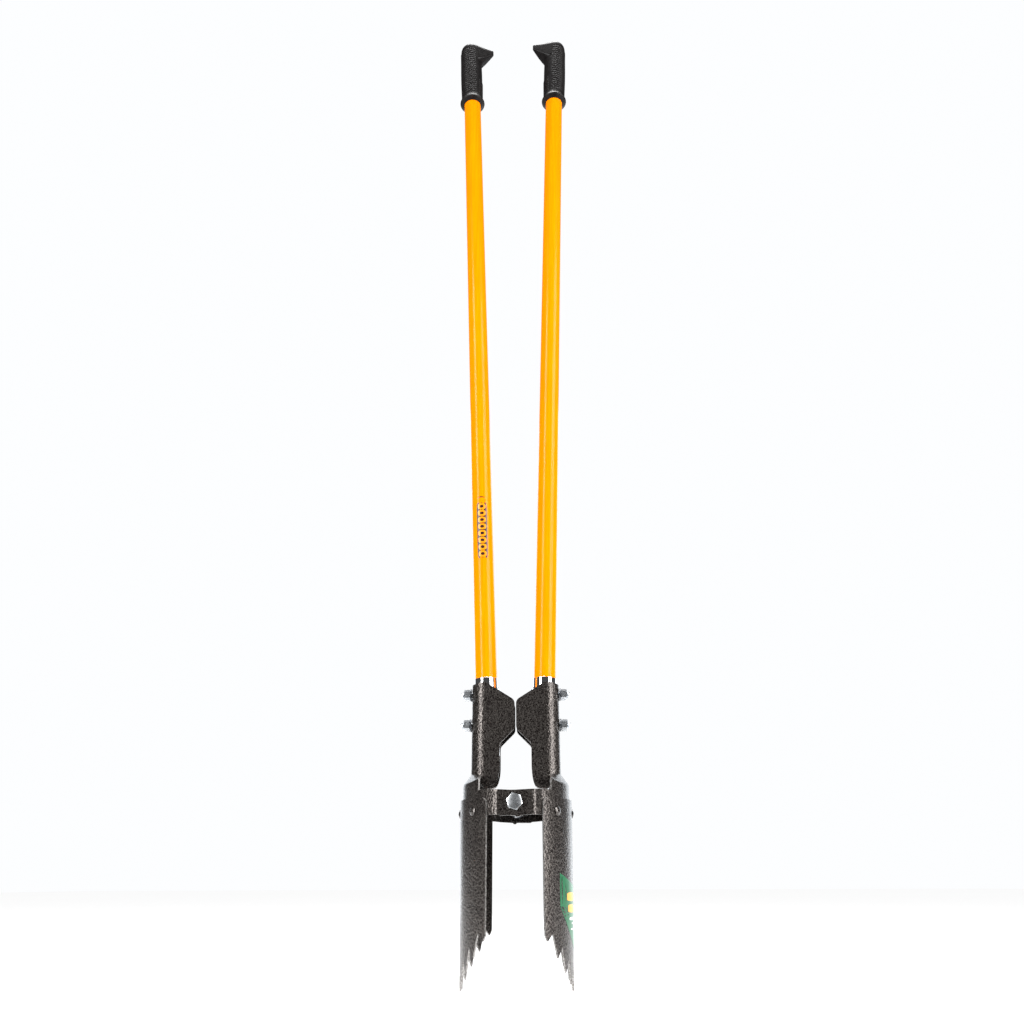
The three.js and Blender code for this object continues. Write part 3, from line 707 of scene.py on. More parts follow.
def rubber(name):
    colours = settings().finish
    finish = Finish(name, specular_ior_level=0.22)
    grain = finish.noise(0.45 * MM, detail=3.0)
    dust = finish.noise(7 * MM, detail=5.0, roughness=0.7)
    paler = tuple(1.8 * part for part in colours.rubber)
    finish.set("Base Color", finish.blend(finish.remap(dust, 0.45, 0.75), colours.rubber, paler))
    finish.set("Roughness", finish.remap(dust, 0.3, 0.7, 0.34, 0.52))
    finish.set("Normal", finish.bump(grain, 0.05 * MM, 0.5))
    return finish.material


# ---- blades ------------------------------------------------------------------------------

def tooth_tip(tooth):
    blade = settings().blade
    return blade.edge_tip * (tooth / (blade.teeth - 1)) ** blade.tip_curve


def notch_height(notch):
    blade = settings().blade
    depth = blade.notch_depth - blade.notch_shallowing * notch
    return (tooth_tip(max(notch - 1, 0)) + tooth_tip(notch)) / 2 + depth


def lower_edge():
    """The toothed edge from the middle to the side, as distances along the blade and heights."""
    blade = settings().blade
    distances, heights = [], []
    for tooth in range(blade.teeth):
        distances += [tooth * blade.tooth_pitch, (tooth + 0.5) * blade.tooth_pitch]
        heights += [notch_height(tooth), tooth_tip(tooth)]
    return distances + [blade.radius * blade.half_angle], heights + [blade.edge_start]


def blade_top(distance):
    blade = settings().blade
    into_corner = max(0.0, distance - (blade.radius * blade.half_angle - blade.corner_radius))
    fall = sqrt(max(0.0, blade.corner_radius ** 2 - into_corner ** 2))
    return blade.top - blade.corner_radius + fall


def blade_centre():
    return settings().blade.bulge - settings().blade.radius


def blade_point(distance, height, depth=0.0):
    """A point of the blade at a depth below its outer face."""
    blade = settings().blade
    around = distance / blade.radius
    belly = (cos(around) - cos(blade.half_angle)) / (1 - cos(blade.half_angle))
    drawn_in = blade.taper * belly * max(0.0, 1 - height / blade.taper_from)
    radius = blade.radius - depth
    return Vector((blade_centre() + radius * cos(around) - drawn_in, radius * sin(around), height))


class DIGGER_OT_blades(Operator):
    """Rolls the two toothed blades"""
    bl_idname = "digger.blades"
    bl_label = "Blades"

    def execute(self, context):
        blade = settings().blade
        tips, heights = lower_edge()
        tooth_steps, corner_steps = 6, 8  # columns between a tooth's tip and its notch, and in a corner
        knee_rows, level_rows, corner_rows = 6, 16, 3
        half = [a + (b - a) * k / tooth_steps for a, b in zip(tips, tips[1:]) for k in range(tooth_steps)]
        edge = tips[-1]
        turns = np.linspace(0, pi / 2, corner_steps + 1)
        corner = [edge - blade.corner_radius * (1 - sin(a)) for a in turns]
        half = [d for d in half if d < corner[0] - 0.5 * MM] + corner
        columns = [-d for d in reversed(half[1:])] + half
        knee = 90 * MM  # the rows are level above this height
        levels = list(np.linspace(knee, blade.top - blade.corner_radius, level_rows))
        rows = [[] for _ in range(knee_rows + level_rows + corner_rows)]
        for distance in columns:
            low = float(np.interp(abs(distance), tips, heights))
            top = blade_top(abs(distance))
            column = list(np.linspace(low, knee, knee_rows + 1))[:-1] + levels
            column += list(np.linspace(levels[-1], top, corner_rows + 1))[1:]
            for row, height in zip(rows, column):
                row.append(blade_point(distance, height))
        points = [point for row in rows for point in row]
        paints = [finish_named("hammered paint", hammered_paint), finish_named("cut edge", cut_edge)]
        piece = make_object("blade_plate", points, grid_faces(len(rows), len(columns)), paints)
        weld(piece)
        # The rim faces take the second material, the lighter edge colour with its painted highlight.
        add_modifier(piece, "SOLIDIFY", thickness=blade.thickness, offset=-1, use_even_offset=True,
                     material_offset_rim=1)
        soften(piece, EDGE)
        settle_halves(piece, ["blade"])
        return {"FINISHED"}


# ---- yokes -------------------------------------------------------------------------------

def band_radius():
    """The middle of the band's sheet, which lines the blade."""
    blade = settings().blade
    return blade.radius - blade.thickness - GAP - settings().yoke.sheet / 2


def add_patch(shell, rows):
    """Adds a grid of points to a mesh under construction."""
    verts = [[shell.verts.new(point) for point in row] for row in rows]
    for below, above in zip(verts, verts[1:]):
        for k in range(len(below) - 1):
            shell.faces.new((below[k], below[k + 1], above[k + 1], above[k]))


def shoulder_creases(share):
    """Heights of the shoulder's lower and upper crease, from its middle at 0 to its ends at 1."""
    yoke = settings().yoke
    return (yoke.band_top + yoke.band_rise * abs(share) ** 6,
            yoke.shoulder_top - yoke.shoulder_fall * abs(share) ** 4)


def socket_rows(share):
    """Heights of the socket's rows above the shoulder, at a place across its back."""
    yoke = settings().yoke
    low = shoulder_creases(share)[1] + yoke.crease
    high = yoke.socket_top - yoke.mouth_fall * (1 - share * share)
    return list(np.linspace(low, high, 9))


def back_patch(low_rows):
    """The band, the shoulder above it and the rounded back of the socket."""
    yoke = settings().yoke
    band_half = acos((yoke.relief - blade_centre()) / band_radius())
    socket_half = acos((yoke.relief - yoke.socket_centre) / yoke.socket_radius)
    up = Vector((0, 0, 1))
    columns = []
    for share in np.linspace(-1, 1, 41):
        on_band = Vector((blade_centre() + band_radius() * cos(share * band_half),
                          band_radius() * sin(share * band_half), 0))
        on_socket = Vector((yoke.socket_centre + yoke.socket_radius * cos(share * socket_half),
                            yoke.socket_radius * sin(share * socket_half), 0))
        low, high = shoulder_creases(share)
        above = socket_rows(share)
        slope = rounded([on_band + up * low_rows[-1], on_band + up * low, on_socket + up * high,
                         on_socket + up * above[1]], (yoke.crease, yoke.crease))
        columns.append([on_band + up * height for height in low_rows] + slope[1:-1]
                       + [on_socket + up * height for height in above[1:]])
    return list(zip(*columns))


def wall_patch():
    """The curved end of a socket wall, from the rounded back to its flat face."""
    yoke = settings().yoke
    start = acos((yoke.relief - yoke.socket_centre) / yoke.socket_radius)
    corner_wide, corner_tall = 5 * MM, 7 * MM
    rows = socket_rows(1)
    columns = []
    for around in np.linspace(start, pi / 2, 7):
        x = yoke.socket_centre + yoke.socket_radius * cos(around)
        into = max(0.0, corner_wide - (yoke.relief - x)) / corner_wide
        low = yoke.toe_bottom + corner_tall * (1 - sqrt(max(0.0, 1 - into * into)))
        heights = list(np.linspace(low, rows[0], 5))[:-1] + rows
        columns.append([(x, yoke.socket_radius * sin(around), height) for height in heights])
    return list(zip(*columns))


def curl_toes(shell):
    """Bends the lower end of the socket's walls inwards, more and more towards the edge."""
    yoke = settings().yoke
    tall = 11 * MM
    levels = np.linspace(yoke.toe_bottom, yoke.toe_bottom + tall, 6)[1:]

    def on_toe(vert):
        return vert.co.x < yoke.relief + 0.01 * MM and abs(vert.co.y) < yoke.socket_radius + 0.01 * MM

    for level in levels:
        faces = [face for face in shell.faces if all(on_toe(vert) for vert in face.verts)]
        parts = {part for face in faces for part in (*face.verts, *face.edges, face)}
        bmesh.ops.bisect_plane(shell, geom=list(parts), plane_co=(0, 0, level), plane_no=(0, 0, 1))
    for vert in shell.verts:
        below = (levels[-1] - vert.co.z) / tall
        if on_toe(vert) and below > 0:
            vert.co.y -= copysign(yoke.toe_curl * below ** 2, vert.co.y)


def wall_outline():
    """The flat face of a socket wall: toe, neck, ear and mouth, without its curved end."""
    yoke = settings().yoke
    corners = [
        (yoke.socket_centre, yoke.toe_bottom),
        (yoke.neck + 4 * MM, yoke.toe_bottom),
        (yoke.neck, yoke.toe_bottom + 18 * MM),
        (yoke.neck, yoke.neck_top),
        (yoke.ear_edge, yoke.ear_bottom),
        (yoke.ear_edge, yoke.ear_top),
        (yoke.socket_centre, yoke.socket_top),
    ]
    return rounded(corners, [9 * MM, 7 * MM, 3 * MM, 3.5 * MM, 5 * MM])


def arm_plan(outer):
    """The middle line of an arm in plan, from the band to the start of its flat end."""
    yoke = settings().yoke
    radius = band_radius()
    start = acos((yoke.relief - blade_centre()) / radius)
    if not outer:
        bend = yoke.inner_bend_radius
        reach = sqrt((radius - bend) ** 2 - (yoke.inner_arm - bend) ** 2)
        meet = atan2(yoke.inner_arm - bend, reach)
        return (arc(blade_centre(), 0, radius, start, meet, 14)
                + arc(blade_centre() + reach, yoke.inner_arm - bend, bend, meet, pi / 2, 8)[1:])
    outer_arm = yoke.inner_arm + yoke.sheet + GAP
    leave = Vector((blade_centre() + radius * cos(yoke.leave_angle), radius * sin(yoke.leave_angle)))
    corner = Vector((leave.x - (outer_arm - leave.y) / tan(yoke.step_slope), outer_arm))
    setback = yoke.bend_radius * tan(yoke.step_slope / 2)
    flat = corner - Vector((setback + 1 * MM, 0))
    line = arc(blade_centre(), 0, radius, start, yoke.leave_angle, 12)
    bends = rounded([line[-3], leave, corner, flat], (2 * MM, setback), steps=8)
    return line[:-2] + [tuple(point) for point in bends[1:-1]]


def arm_heights(x):
    """Lower and upper edge of an arm at a distance from the middle plane."""
    yoke, blade = settings().yoke, settings().blade
    edge = blade_centre() + blade.radius * cos(blade.half_angle)
    low = np.interp(x, [0, edge, edge + 6 * MM], [yoke.pivot_bottom, yoke.arm_bottom, yoke.band_bottom])
    top = np.interp(x, [0, edge], [yoke.pivot_top, yoke.arm_top])
    return float(low), float(top)


def arm_end_outline(start_x, outer):
    """The flat end of an arm, from its lower edge round the end to its upper edge."""
    yoke = settings().yoke
    low, top = arm_heights(start_x)
    if not outer:
        middle = (yoke.pivot_top + yoke.pivot_bottom) / 2
        radius = (yoke.pivot_top - yoke.pivot_bottom) / 2
        return [(start_x, low)] + arc(0, middle, radius, -pi / 2, -3 * pi / 2, 24) + [(start_x, top)]
    nib_wide, nib_deep = 5 * MM, 1.5 * MM  # left where the strip was sheared
    nib_x = 3.5 * MM
    base = arm_heights(nib_x)[0]
    corners = [
        (start_x, low),
        (nib_x + nib_wide / 2, base), (nib_x + nib_wide / 3, base - nib_deep),
        (nib_x - nib_wide / 3, base - nib_deep), (nib_x - nib_wide / 2, base),
        (-yoke.outer_reach, yoke.pivot_bottom), (-yoke.outer_reach, yoke.pivot_top),
        (0, yoke.pivot_top), (start_x, top),
    ]
    setbacks = [0.5 * MM, 0.8 * MM, 0.8 * MM, 0.5 * MM, 5 * MM, 4 * MM, 0]
    return [tuple(point) for point in rounded(corners, setbacks, steps=5)]


def add_face(shell, points):
    shell.faces.new([shell.verts.new(point) for point in points])


class DIGGER_OT_yokes(Operator):
    """Presses the two yokes from one sheet each: socket, shoulder, band and arms"""
    bl_idname = "digger.yokes"
    bl_label = "Yokes"

    def execute(self, context):
        yoke = settings().yoke
        low_rows = list(np.linspace(yoke.band_bottom, yoke.arm_top, 6))
        shell = bmesh.new()
        add_patch(shell, back_patch(low_rows))
        for way in (1, -1):
            rows = wall_patch()
            add_patch(shell, [[(x, way * y, z) for x, y, z in row] for row in rows])
            seam = [row[-1][2] for row in rows]
            flat = [(x, z) for x, z in wall_outline()]
            flat += [(yoke.socket_centre, z) for z in reversed(seam[1:-1])]
            add_face(shell, [(x, way * yoke.socket_radius, z) for x, z in flat])
            outer = way < 0
            plan = arm_plan(outer)
            columns = [[(x, way * y, z) for z in np.linspace(*arm_heights(x), len(low_rows))]
                       for x, y in plan]
            add_patch(shell, list(zip(*columns)))
            end_x, end_y = plan[-1]
            seam = [point[2] for point in columns[-1]]
            flat = arm_end_outline(end_x, outer) + [(end_x, z) for z in reversed(seam[1:-1])]
            add_face(shell, [(x, way * end_y, z) for x, z in flat])
        curl_toes(shell)
        mesh = bpy.data.meshes.new("yoke_pressing")
        shell.to_mesh(mesh)
        shell.free()
        for paint, build in (("hammered paint", hammered_paint), ("cut edge", cut_edge)):
            mesh.materials.append(finish_named(paint, build))
        piece = bpy.data.objects.new("yoke_pressing", mesh)
        context.scene.collection.objects.link(piece)
        weld(piece)
        # The rim faces take the second material, the lighter edge colour with its painted highlight.
        add_modifier(piece, "SOLIDIFY", thickness=yoke.sheet, offset=0, use_even_offset=True,
                     material_offset_rim=1)
        soften(piece, EDGE)
        settle_halves(piece, ["yoke"])
        return {"FINISHED"}


# ---- handles -----------------------------------------------------------------------------

class DIGGER_OT_tubes(Operator):
    """Draws the two glass-fibre tubes"""
    bl_idname = "digger.tubes"
    bl_label = "Handle tubes"

    def execute(self, context):
        handle = settings().handle
        lip = 0.6 * MM
        levels = list(np.linspace(handle.bottom + lip, handle.top - lip, 24))
        profile = [(handle.bore, handle.bottom), (handle.radius - lip, handle.bottom)]
        profile += [(handle.radius, level) for level in levels]
        profile += [(handle.radius - lip, handle.top), (handle.bore, handle.top), profile[0]]
        piece = turned(profile, 72, "handle_tube_drawn", [finish_named("glass fibre", glass_fibre)])
        piece.data.transform(handle_frame())
        smooth(piece, 30)
        settle_halves(piece, ["handle_tube"])
        return {"FINISHED"}


class DIGGER_OT_ferrules(Operator):
    """Rolls the chromed ferrules round the feet of the tubes"""
    bl_idname = "digger.ferrules"
    bl_label = "Ferrules"

    def execute(self, context):
        handle = settings().handle
        bore, outside = handle.radius + 0.1 * MM, handle.ferrule_radius
        lip = (outside - bore) / 2
        top = [(outside - lip + lip * cos(a), handle.ferrule_top - lip + lip * sin(a))
               for a in np.linspace(0, pi, 9)]
        foot = [(outside - lip - lip * cos(a), handle.ferrule_bottom + lip - lip * sin(a))
                for a in np.linspace(0, pi, 9)]
        piece = turned(foot + top + foot[:1], 72, "ferrule_rolled", [finish_named("chrome", chrome)])
        piece.data.transform(handle_frame())
        smooth(piece, 50)
        settle_halves(piece, ["ferrule"])
        return {"FINISHED"}


# ---- grips -------------------------------------------------------------------------------

def grip_sides():
    """Side outlines of the grip as radii and heights: its collar, and its shaft up to the throat."""
    grip, handle = settings().grip, settings().handle
    mouth = handle.radius + 0.15 * MM
    collar = [
        (mouth, 1.0 * MM - grip.mouth), (mouth + 0.8 * MM, -grip.mouth),
        (mouth + 2.0 * MM, 0.4 * MM - grip.mouth),
        (grip.collar - 2.4 * MM, -0.4 * MM), (grip.collar - 1.0 * MM, 0.0),
        (grip.collar - 0.2 * MM, 0.6 * MM), (grip.collar, 1.6 * MM), (grip.collar - 0.1 * MM, 2.8 * MM),
        (grip.collar - 0.9 * MM, 3.8 * MM), (grip.waist + 1.4 * MM, 5.6 * MM),
        (grip.waist + 0.5 * MM, 8.5 * MM), (grip.waist, grip.waist_height),
    ]
    palm_low, palm_high, palm_end = 50 * MM, 72 * MM, 104 * MM
    levels = [grip.waist_height, palm_low, palm_high, palm_end]
    girths = [grip.waist, grip.palm, grip.palm, grip.crown]
    rows = np.linspace(grip.waist_height, grip.throat, 30)[1:]
    shaft = [(float(np.interp(z, levels, girths)), z) for z in rows]
    return collar, shaft


def horn_plan(off):
    """How far the grip reaches in plan, at an angle from the horn's direction."""
    grip = settings().grip
    centre = grip.reach - grip.horn_tip
    leave = acos((grip.crown - grip.horn_tip) / centre)
    if off > leave:
        return grip.crown
    if off > atan2(grip.horn_tip * sin(leave), centre + grip.horn_tip * cos(leave)):
        return grip.crown / cos(leave - off)
    return centre * cos(off) + sqrt(grip.horn_tip ** 2 - (centre * sin(off)) ** 2)


def grip_top(off):
    """The grip's outline above the throat, at an angle from the horn's direction."""
    grip = settings().grip
    under_steps, top_steps = 16, 22
    limit = horn_plan(off)
    out = (limit - grip.crown) / (grip.reach - grip.crown)
    line = []
    for risen in np.linspace(0, 1, under_steps + 1)[1:]:
        radius = grip.crown + (grip.reach - grip.crown) * risen
        line.append((min(limit, radius), grip.throat + (grip.horn_low - grip.throat) * risen))
    plain = grip.length - grip.dome
    brow = plain + (grip.horn_high - plain) * out
    power = grip.dome_fullness + (grip.horn_fullness - grip.dome_fullness) * out
    for a in np.linspace(0, pi / 2, top_steps + 1)[:-1]:
        line.append((limit * cos(a) ** power, brow + (grip.length - brow) * sin(a) ** power))
    return line + [(0.0, grip.length)]


def grip_columns():
    """Angles round the grip from the horn's direction, closer together across the horn."""
    horn_side, spread = 40, 1.5  # degrees: half of the closer part, and from a seam's ridge to its foot
    horn = np.linspace(-horn_side, horn_side, 65)
    seams = [ridge + step for ridge in (90, 270) for step in (-spread, 0, spread)]
    plain = [a for a in np.linspace(horn_side + 3, 357 - horn_side, 69) if min(abs(a - s) for s in seams) > 1]
    return [radians(a) for a in sorted([*horn, *plain, *seams])]


def grip_shell():
    """The moulded rubber without its ribs, with the horn towards -X."""
    collar, shaft = grip_sides()
    seam_high, seam_low, seam_top = 0.35 * MM, 6 * MM, 34 * MM
    columns = []
    for around in grip_columns():
        off = abs(around if around < pi else around - 2 * pi)
        seam = seam_high if abs(off - pi / 2) < radians(0.5) else 0.0
        line = [(r + (seam if seam_low < z < seam_top else 0.0), z) for r, z in collar + shaft]
        columns.append([(-r * cos(around), -r * sin(around), z) for r, z in line + grip_top(off)])
    rows = list(zip(*columns))
    points = [point for row in rows for point in row]
    piece = make_object("grip_shell", points, grid_faces(len(rows), len(columns), closed=True),
                        [finish_named("rubber", rubber)])
    weld(piece, 0.01 * MM)
    return piece


def grip_ribs(name, levels, turn, sweep):
    """Ribs round the grip at some levels, centred on the back at a turn of 0."""
    grip = settings().grip
    _, shaft = grip_sides()
    radii, heights = zip((grip.waist, grip.waist_height), *shaft)
    girths = [float(np.interp(z, heights, radii)) / grip.waist for z in levels]
    ribs = guide(name, [(0, 0, z) for z in levels], [(0, 0, turn)] * len(levels), girths)
    radius = grip.waist - grip.rib_size + grip.rib_height
    grow(ribs, tree_named("Ribs round a grip", rib_tree), radius=radius, size=grip.rib_size,
         shift=grip.rib_shift, sweep=sweep, finish=finish_named("rubber", rubber))
    return ribs


class DIGGER_OT_grips(Operator):
    """Moulds the two ribbed rubber grips"""
    bl_idname = "digger.grips"
    bl_label = "Grips"

    def execute(self, context):
        grip = settings().grip
        start, tall_end, low_end = grip.waist_height + 3 * MM, grip.length - grip.dome - 1 * MM, 46 * MM
        tall = np.arange(start, tall_end, grip.rib_pitch)
        low = np.arange(start, low_end, grip.rib_pitch)
        piece = join("grip_moulded", [grip_shell(), grip_ribs("tall_ribs", tall, 0.0, grip.rib_sweep),
                                      grip_ribs("low_ribs", low, pi, grip.low_rib_sweep)])
        smooth(piece, 60)
        for side, turn in (("right", grip.turn_right), ("left", grip.turn_left)):
            place = SIDES[side] @ handle_frame() @ Matrix.Translation((0, 0, grip.bottom))
            copy = bpy.data.objects.new(f"{side}_grip_moulded", piece.data.copy())
            copy.data.transform(place @ Matrix.Rotation(turn, 4, "Z"))
            context.scene.collection.objects.link(copy)
            settle(copy, f"{side}_half", [f"{side}_grip"])
        discard(piece)
        return {"FINISHED"}


# ---- fasteners ---------------------------------------------------------------------------

def hexagon(name, across, height, bore, foot_chamfer=False):
    """A hexagonal nut or head along Z from zero to its height, chamfered on top; a head has no bore."""
    steps = 12  # columns on each side of the hexagon
    inner = across / 2 - 0.4 * MM
    slope = tan(radians(30))
    columns = []
    for k in range(6 * steps):
        around = 2 * pi * k / (6 * steps)
        off = (around % (pi / 3)) - pi / 6
        reach = across / 2 / cos(off)
        fall = (reach - inner) * slope
        foot = fall if foot_chamfer else 0.0
        mouth = 0.5 * MM if bore else 0.0
        line = [(bore + mouth, 0.0), (inner, 0.0), (reach, foot), (reach, height - fall), (inner, height),
                (bore + mouth, height)]
        if bore:
            line += [(bore, height - mouth), (bore, mouth), line[0]]
        columns.append([(r * cos(around), r * sin(around), z) for r, z in line])
    rows = list(zip(*columns))
    points = [point for row in rows for point in row]
    piece = make_object(name, points, grid_faces(len(rows), len(columns), closed=True))
    weld(piece)
    return piece


def washer(name, bore, outside, height):
    lip = 0.25 * MM
    profile = [(bore, lip), (bore + lip, 0), (outside - lip, 0), (outside, lip), (outside, height - lip),
               (outside - lip, height), (bore + lip, height), (bore, height - lip), (bore, lip)]
    return turned(profile, 48, name)


def threaded(piece, radius, start, end, material):
    """Adds a thread to a shank whose core is a little thinner than its thread."""
    depth = 0.5 * MM
    return grow(piece, tree_named("Screw thread", thread_tree), radius=radius - depth, depth=depth,
                pitch=settings().fastener.thread_pitch, start=start, length=end - start, finish=material)


def dome(radius, height):
    """Half the outline of a low dome, from its centre to its rim, with the rim at zero."""
    steps = 8
    sphere = (radius ** 2 + height ** 2) / (2 * height)
    most = asin(min(1.0, radius / sphere))
    return [(sphere * sin(most * k / steps), sphere * cos(most * k / steps) - sphere + height)
            for k in range(steps + 1)]


class DIGGER_OT_rivets(Operator):
    """Sets the three rivets of each blade"""
    bl_idname = "digger.rivets"
    bl_label = "Rivets"

    def execute(self, context):
        blade, sizes = settings().blade, settings().fastener
        grip = blade.thickness + settings().yoke.sheet + 3 * GAP
        rim, tail_share, tail_height = 0.5 * MM, 0.88, 1.3 * MM
        head = [(r, z + rim) for r, z in dome(sizes.rivet_head, sizes.rivet_head_height - rim)]
        tail = [(r * tail_share, -grip - rim - z) for r, z in reversed(dome(sizes.rivet_head, tail_height))]
        profile = head + [(sizes.rivet_head, -GAP), (sizes.rivet_shank, -GAP), (sizes.rivet_shank, -grip)]
        profile += [(sizes.rivet_head * tail_share, -grip)] + tail
        paint = finish_named("rivet paint", rivet_paint)
        master = smooth(turned(profile, 40, "rivet_master"), 50)
        seat = blade.radius + GAP
        angles = [-blade.rivet_angle, 0.0, blade.rivet_angle]
        places = [(blade_centre() + seat * cos(a), seat * sin(a), blade.rivet_height) for a in angles]
        turns = [(0, pi / 2, a) for a in angles]
        piece = repeat("rivets_set", master, places, turns, paint)
        settle_halves(piece, [f"rivet_{place}" for place in ("front", "middle", "rear")])
        return {"FINISHED"}


def washer_seat(along):
    """Where the handle washers sit, measured from the tube's axis on the bolt's line."""
    handle, yoke = settings().handle, settings().yoke
    wall = yoke.socket_centre + yoke.socket_radius + yoke.sheet / 2
    axis = handle.offset + along * sin(handle.lean)
    return (wall - axis) / cos(handle.lean) + 2 * GAP


class DIGGER_OT_handle_bolts(Operator):
    """Fits the bolts, washers and nuts that hold the tubes in the yokes"""
    bl_idname = "digger.handle_bolts"
    bl_label = "Handle bolts"

    def execute(self, context):
        sizes, handle = settings().fastener, settings().handle
        zinc = finish_named("zinc plate", zinc_plate)
        levels = [sizes.bolt_upper, sizes.bolt_lower]
        outwards = Matrix.Rotation(pi / 2, 4, "Y")
        seat = handle.ferrule_radius + GAP
        rim, thread_length, chamfer = 0.6 * MM, 22 * MM, 0.8 * MM
        core = sizes.bolt_radius - THREAD_DEPTH
        bolts = []
        for along in levels:
            end = seat + washer_seat(along) + sizes.bolt_past_wall - 2 * GAP
            plain = end - thread_length
            head = [(r, -z - rim) for r, z in dome(sizes.bolt_head, sizes.bolt_head_height - rim)]
            shank = [(sizes.bolt_head, 0), (sizes.bolt_radius, 0), (sizes.bolt_radius, plain),
                     (core, plain + 0.6 * MM), (core, end - chamfer), (core - chamfer, end), (0, end)]
            bolt = turned(head + shank, 40, "bolt_blank", [zinc])
            threaded(bolt, sizes.bolt_radius, plain + 0.5 * MM, end - chamfer - 0.5 * MM, zinc)
            bolt.data.transform(Matrix.Translation((-seat, 0, along)) @ outwards)
            bolts.append(bolt)
        bolts = smooth(join("handle_bolts_set", bolts), 45)
        places = [(washer_seat(along), 0, along) for along in levels]
        turns = [(0, pi / 2, 0)] * 2
        steel = finish_named("dark steel", dark_steel)
        blank = washer("washer_master", sizes.bolt_radius + GAP, sizes.washer, sizes.washer_height)
        washers = repeat("handle_washers_set", smooth(blank, 30), places, turns, steel)
        on_washer = [(x + sizes.washer_height + GAP, y, z) for x, y, z in places]
        blank = hexagon("nut_master", sizes.nut, sizes.nut_height, sizes.bolt_radius - 0.1 * MM,
                        foot_chamfer=True)
        nuts = repeat("handle_nuts_set", smooth(blank, 25), on_washer, turns, zinc)
        for piece, kind, slot in ((bolts, "bolt", "zinc_plate"), (washers, "washer", "dark_steel"),
                                  (nuts, "nut", "zinc_plate")):
            piece.data.transform(handle_frame())
            settle_halves(piece, [f"upper_handle_{kind}", f"lower_handle_{kind}"])
        return {"FINISHED"}


class DIGGER_OT_pivot_bolts(Operator):
    """Fits the two pivot bolts with their washers and locking nuts"""
    bl_idname = "digger.pivot_bolts"
    bl_label = "Pivot bolts"

    def execute(self, context):
        sizes, yoke = settings().fastener, settings().yoke
        zinc, steel = finish_named("zinc plate", zinc_plate), finish_named("dark steel", dark_steel)
        outside = yoke.inner_arm + 1.5 * yoke.sheet + 2 * GAP
        inside = yoke.inner_arm - yoke.sheet / 2 - GAP
        nut_top = inside - sizes.washer_height - GAP
        end = outside - (nut_top - sizes.pivot_nut_height) + 2.5 * MM
        core = sizes.pivot_radius - THREAD_DEPTH
        plain, chamfer = outside - inside, 1 * MM
        head = hexagon("head_master", sizes.pivot_head, sizes.pivot_head_height, 0.0)
        head.data.transform(Matrix.Scale(-1, 4, (0, 0, 1)))
        weld(head)
        head.data.materials.append(zinc)
        shank = turned([(0, -1 * MM), (sizes.pivot_radius, -1 * MM), (sizes.pivot_radius, plain),
                        (core, plain + 0.6 * MM), (core, end - chamfer), (core - chamfer, end), (0, end)],
                       40, "shank_master", [zinc])
        threaded(shank, sizes.pivot_radius, plain + 0.5 * MM, end - 1.4 * MM, zinc)
        bolt = join("bolt_master", [head, shank])
        ring = washer("ring_master", sizes.pivot_radius + GAP, sizes.pivot_washer, sizes.washer_height)
        nut = hexagon("lock_master", sizes.pivot_head, sizes.pivot_nut_height, sizes.pivot_radius - 0.1 * MM,
                      foot_chamfer=True)
        for master, kind, distance, finish, slot in (
                (bolt, "bolt", outside, zinc, "zinc_plate"),
                (ring, "washer", inside, steel, "dark_steel"),
                (nut, "nut", nut_top, zinc, "zinc_plate")):
            smooth(master, 25)
            master.data.transform(Matrix.Rotation(sizes.pivot_turn, 4, "Z"))
            places = [(0, -distance, sizes.pivot_height), (0, distance, sizes.pivot_height)]
            turns = [(-pi / 2, 0, 0), (-pi / 2, 0, pi)]
            piece = repeat(f"pivot_{kind}s_set", master, places, turns, finish)
            settle(piece, "pivot", [f"front_pivot_{kind}", f"rear_pivot_{kind}"])
        return {"FINISHED"}


# ---- marks -------------------------------------------------------------------------------

def sticker(name, rows, wrap, lift, material, closed=True):
    """A thin body on a curved surface, from rows of flat points that the wrap lays on it.

    Closed rows run round a patch from its middle out; open rows meet at their ends.
    """
    base = 0.02 * MM
    layers = [[wrap(x, z, lift) for x, z in row] for row in rows]
    layers += [[wrap(x, z, base) for x, z in row] for row in reversed(rows)]
    if not closed:
        layers.append(layers[0])
    points = [point for layer in layers for point in layer]
    piece = make_object(name, points, grid_faces(len(layers), len(layers[0]), closed=closed), [material])
    weld(piece, 0.005 * MM)
    return piece


def filled(outline, middle, steps=6):
    """Rows that fill an outline from its middle."""
    return [[(middle[0] + (x - middle[0]) * k / steps, middle[1] + (z - middle[1]) * k / steps)
             for x, z in outline] for k in range(steps + 1)]


def block_outline(x, z, half_wide, half_tall, power=6):
    """A rectangle with rounded corners."""
    outline = []
    for around in np.linspace(0, 2 * pi, 48, endpoint=False):
        outline.append((x + half_wide * copysign(abs(cos(around)) ** (2 / power), cos(around)),
                        z + half_tall * copysign(abs(sin(around)) ** (2 / power), sin(around))))
    return outline


def on_blade(distance, height, lift):
    return blade_point(distance, height, -lift)


def on_tube(across, along, lift):
    """A point on the side of the right tube that is the left tube's front."""
    radius = settings().handle.radius
    around = across / radius
    return Vector(((radius + lift) * sin(around), (radius + lift) * cos(around), along))


def shield_outline():
    """The blade label: a shield whose upper edge dips in the middle."""
    half, steps = 53 * MM, 16
    top, top_rise, bottom, bottom_rise = 110 * MM, 15 * MM, 40 * MM, 50 * MM
    shares = np.linspace(-1, 1, 2 * steps + 1)
    upper = [(half * share, top + top_rise * abs(share) ** 1.4) for share in shares]
    lower = [(half * share, bottom + bottom_rise * abs(share) ** 1.5) for share in reversed(shares)]
    return upper + lower


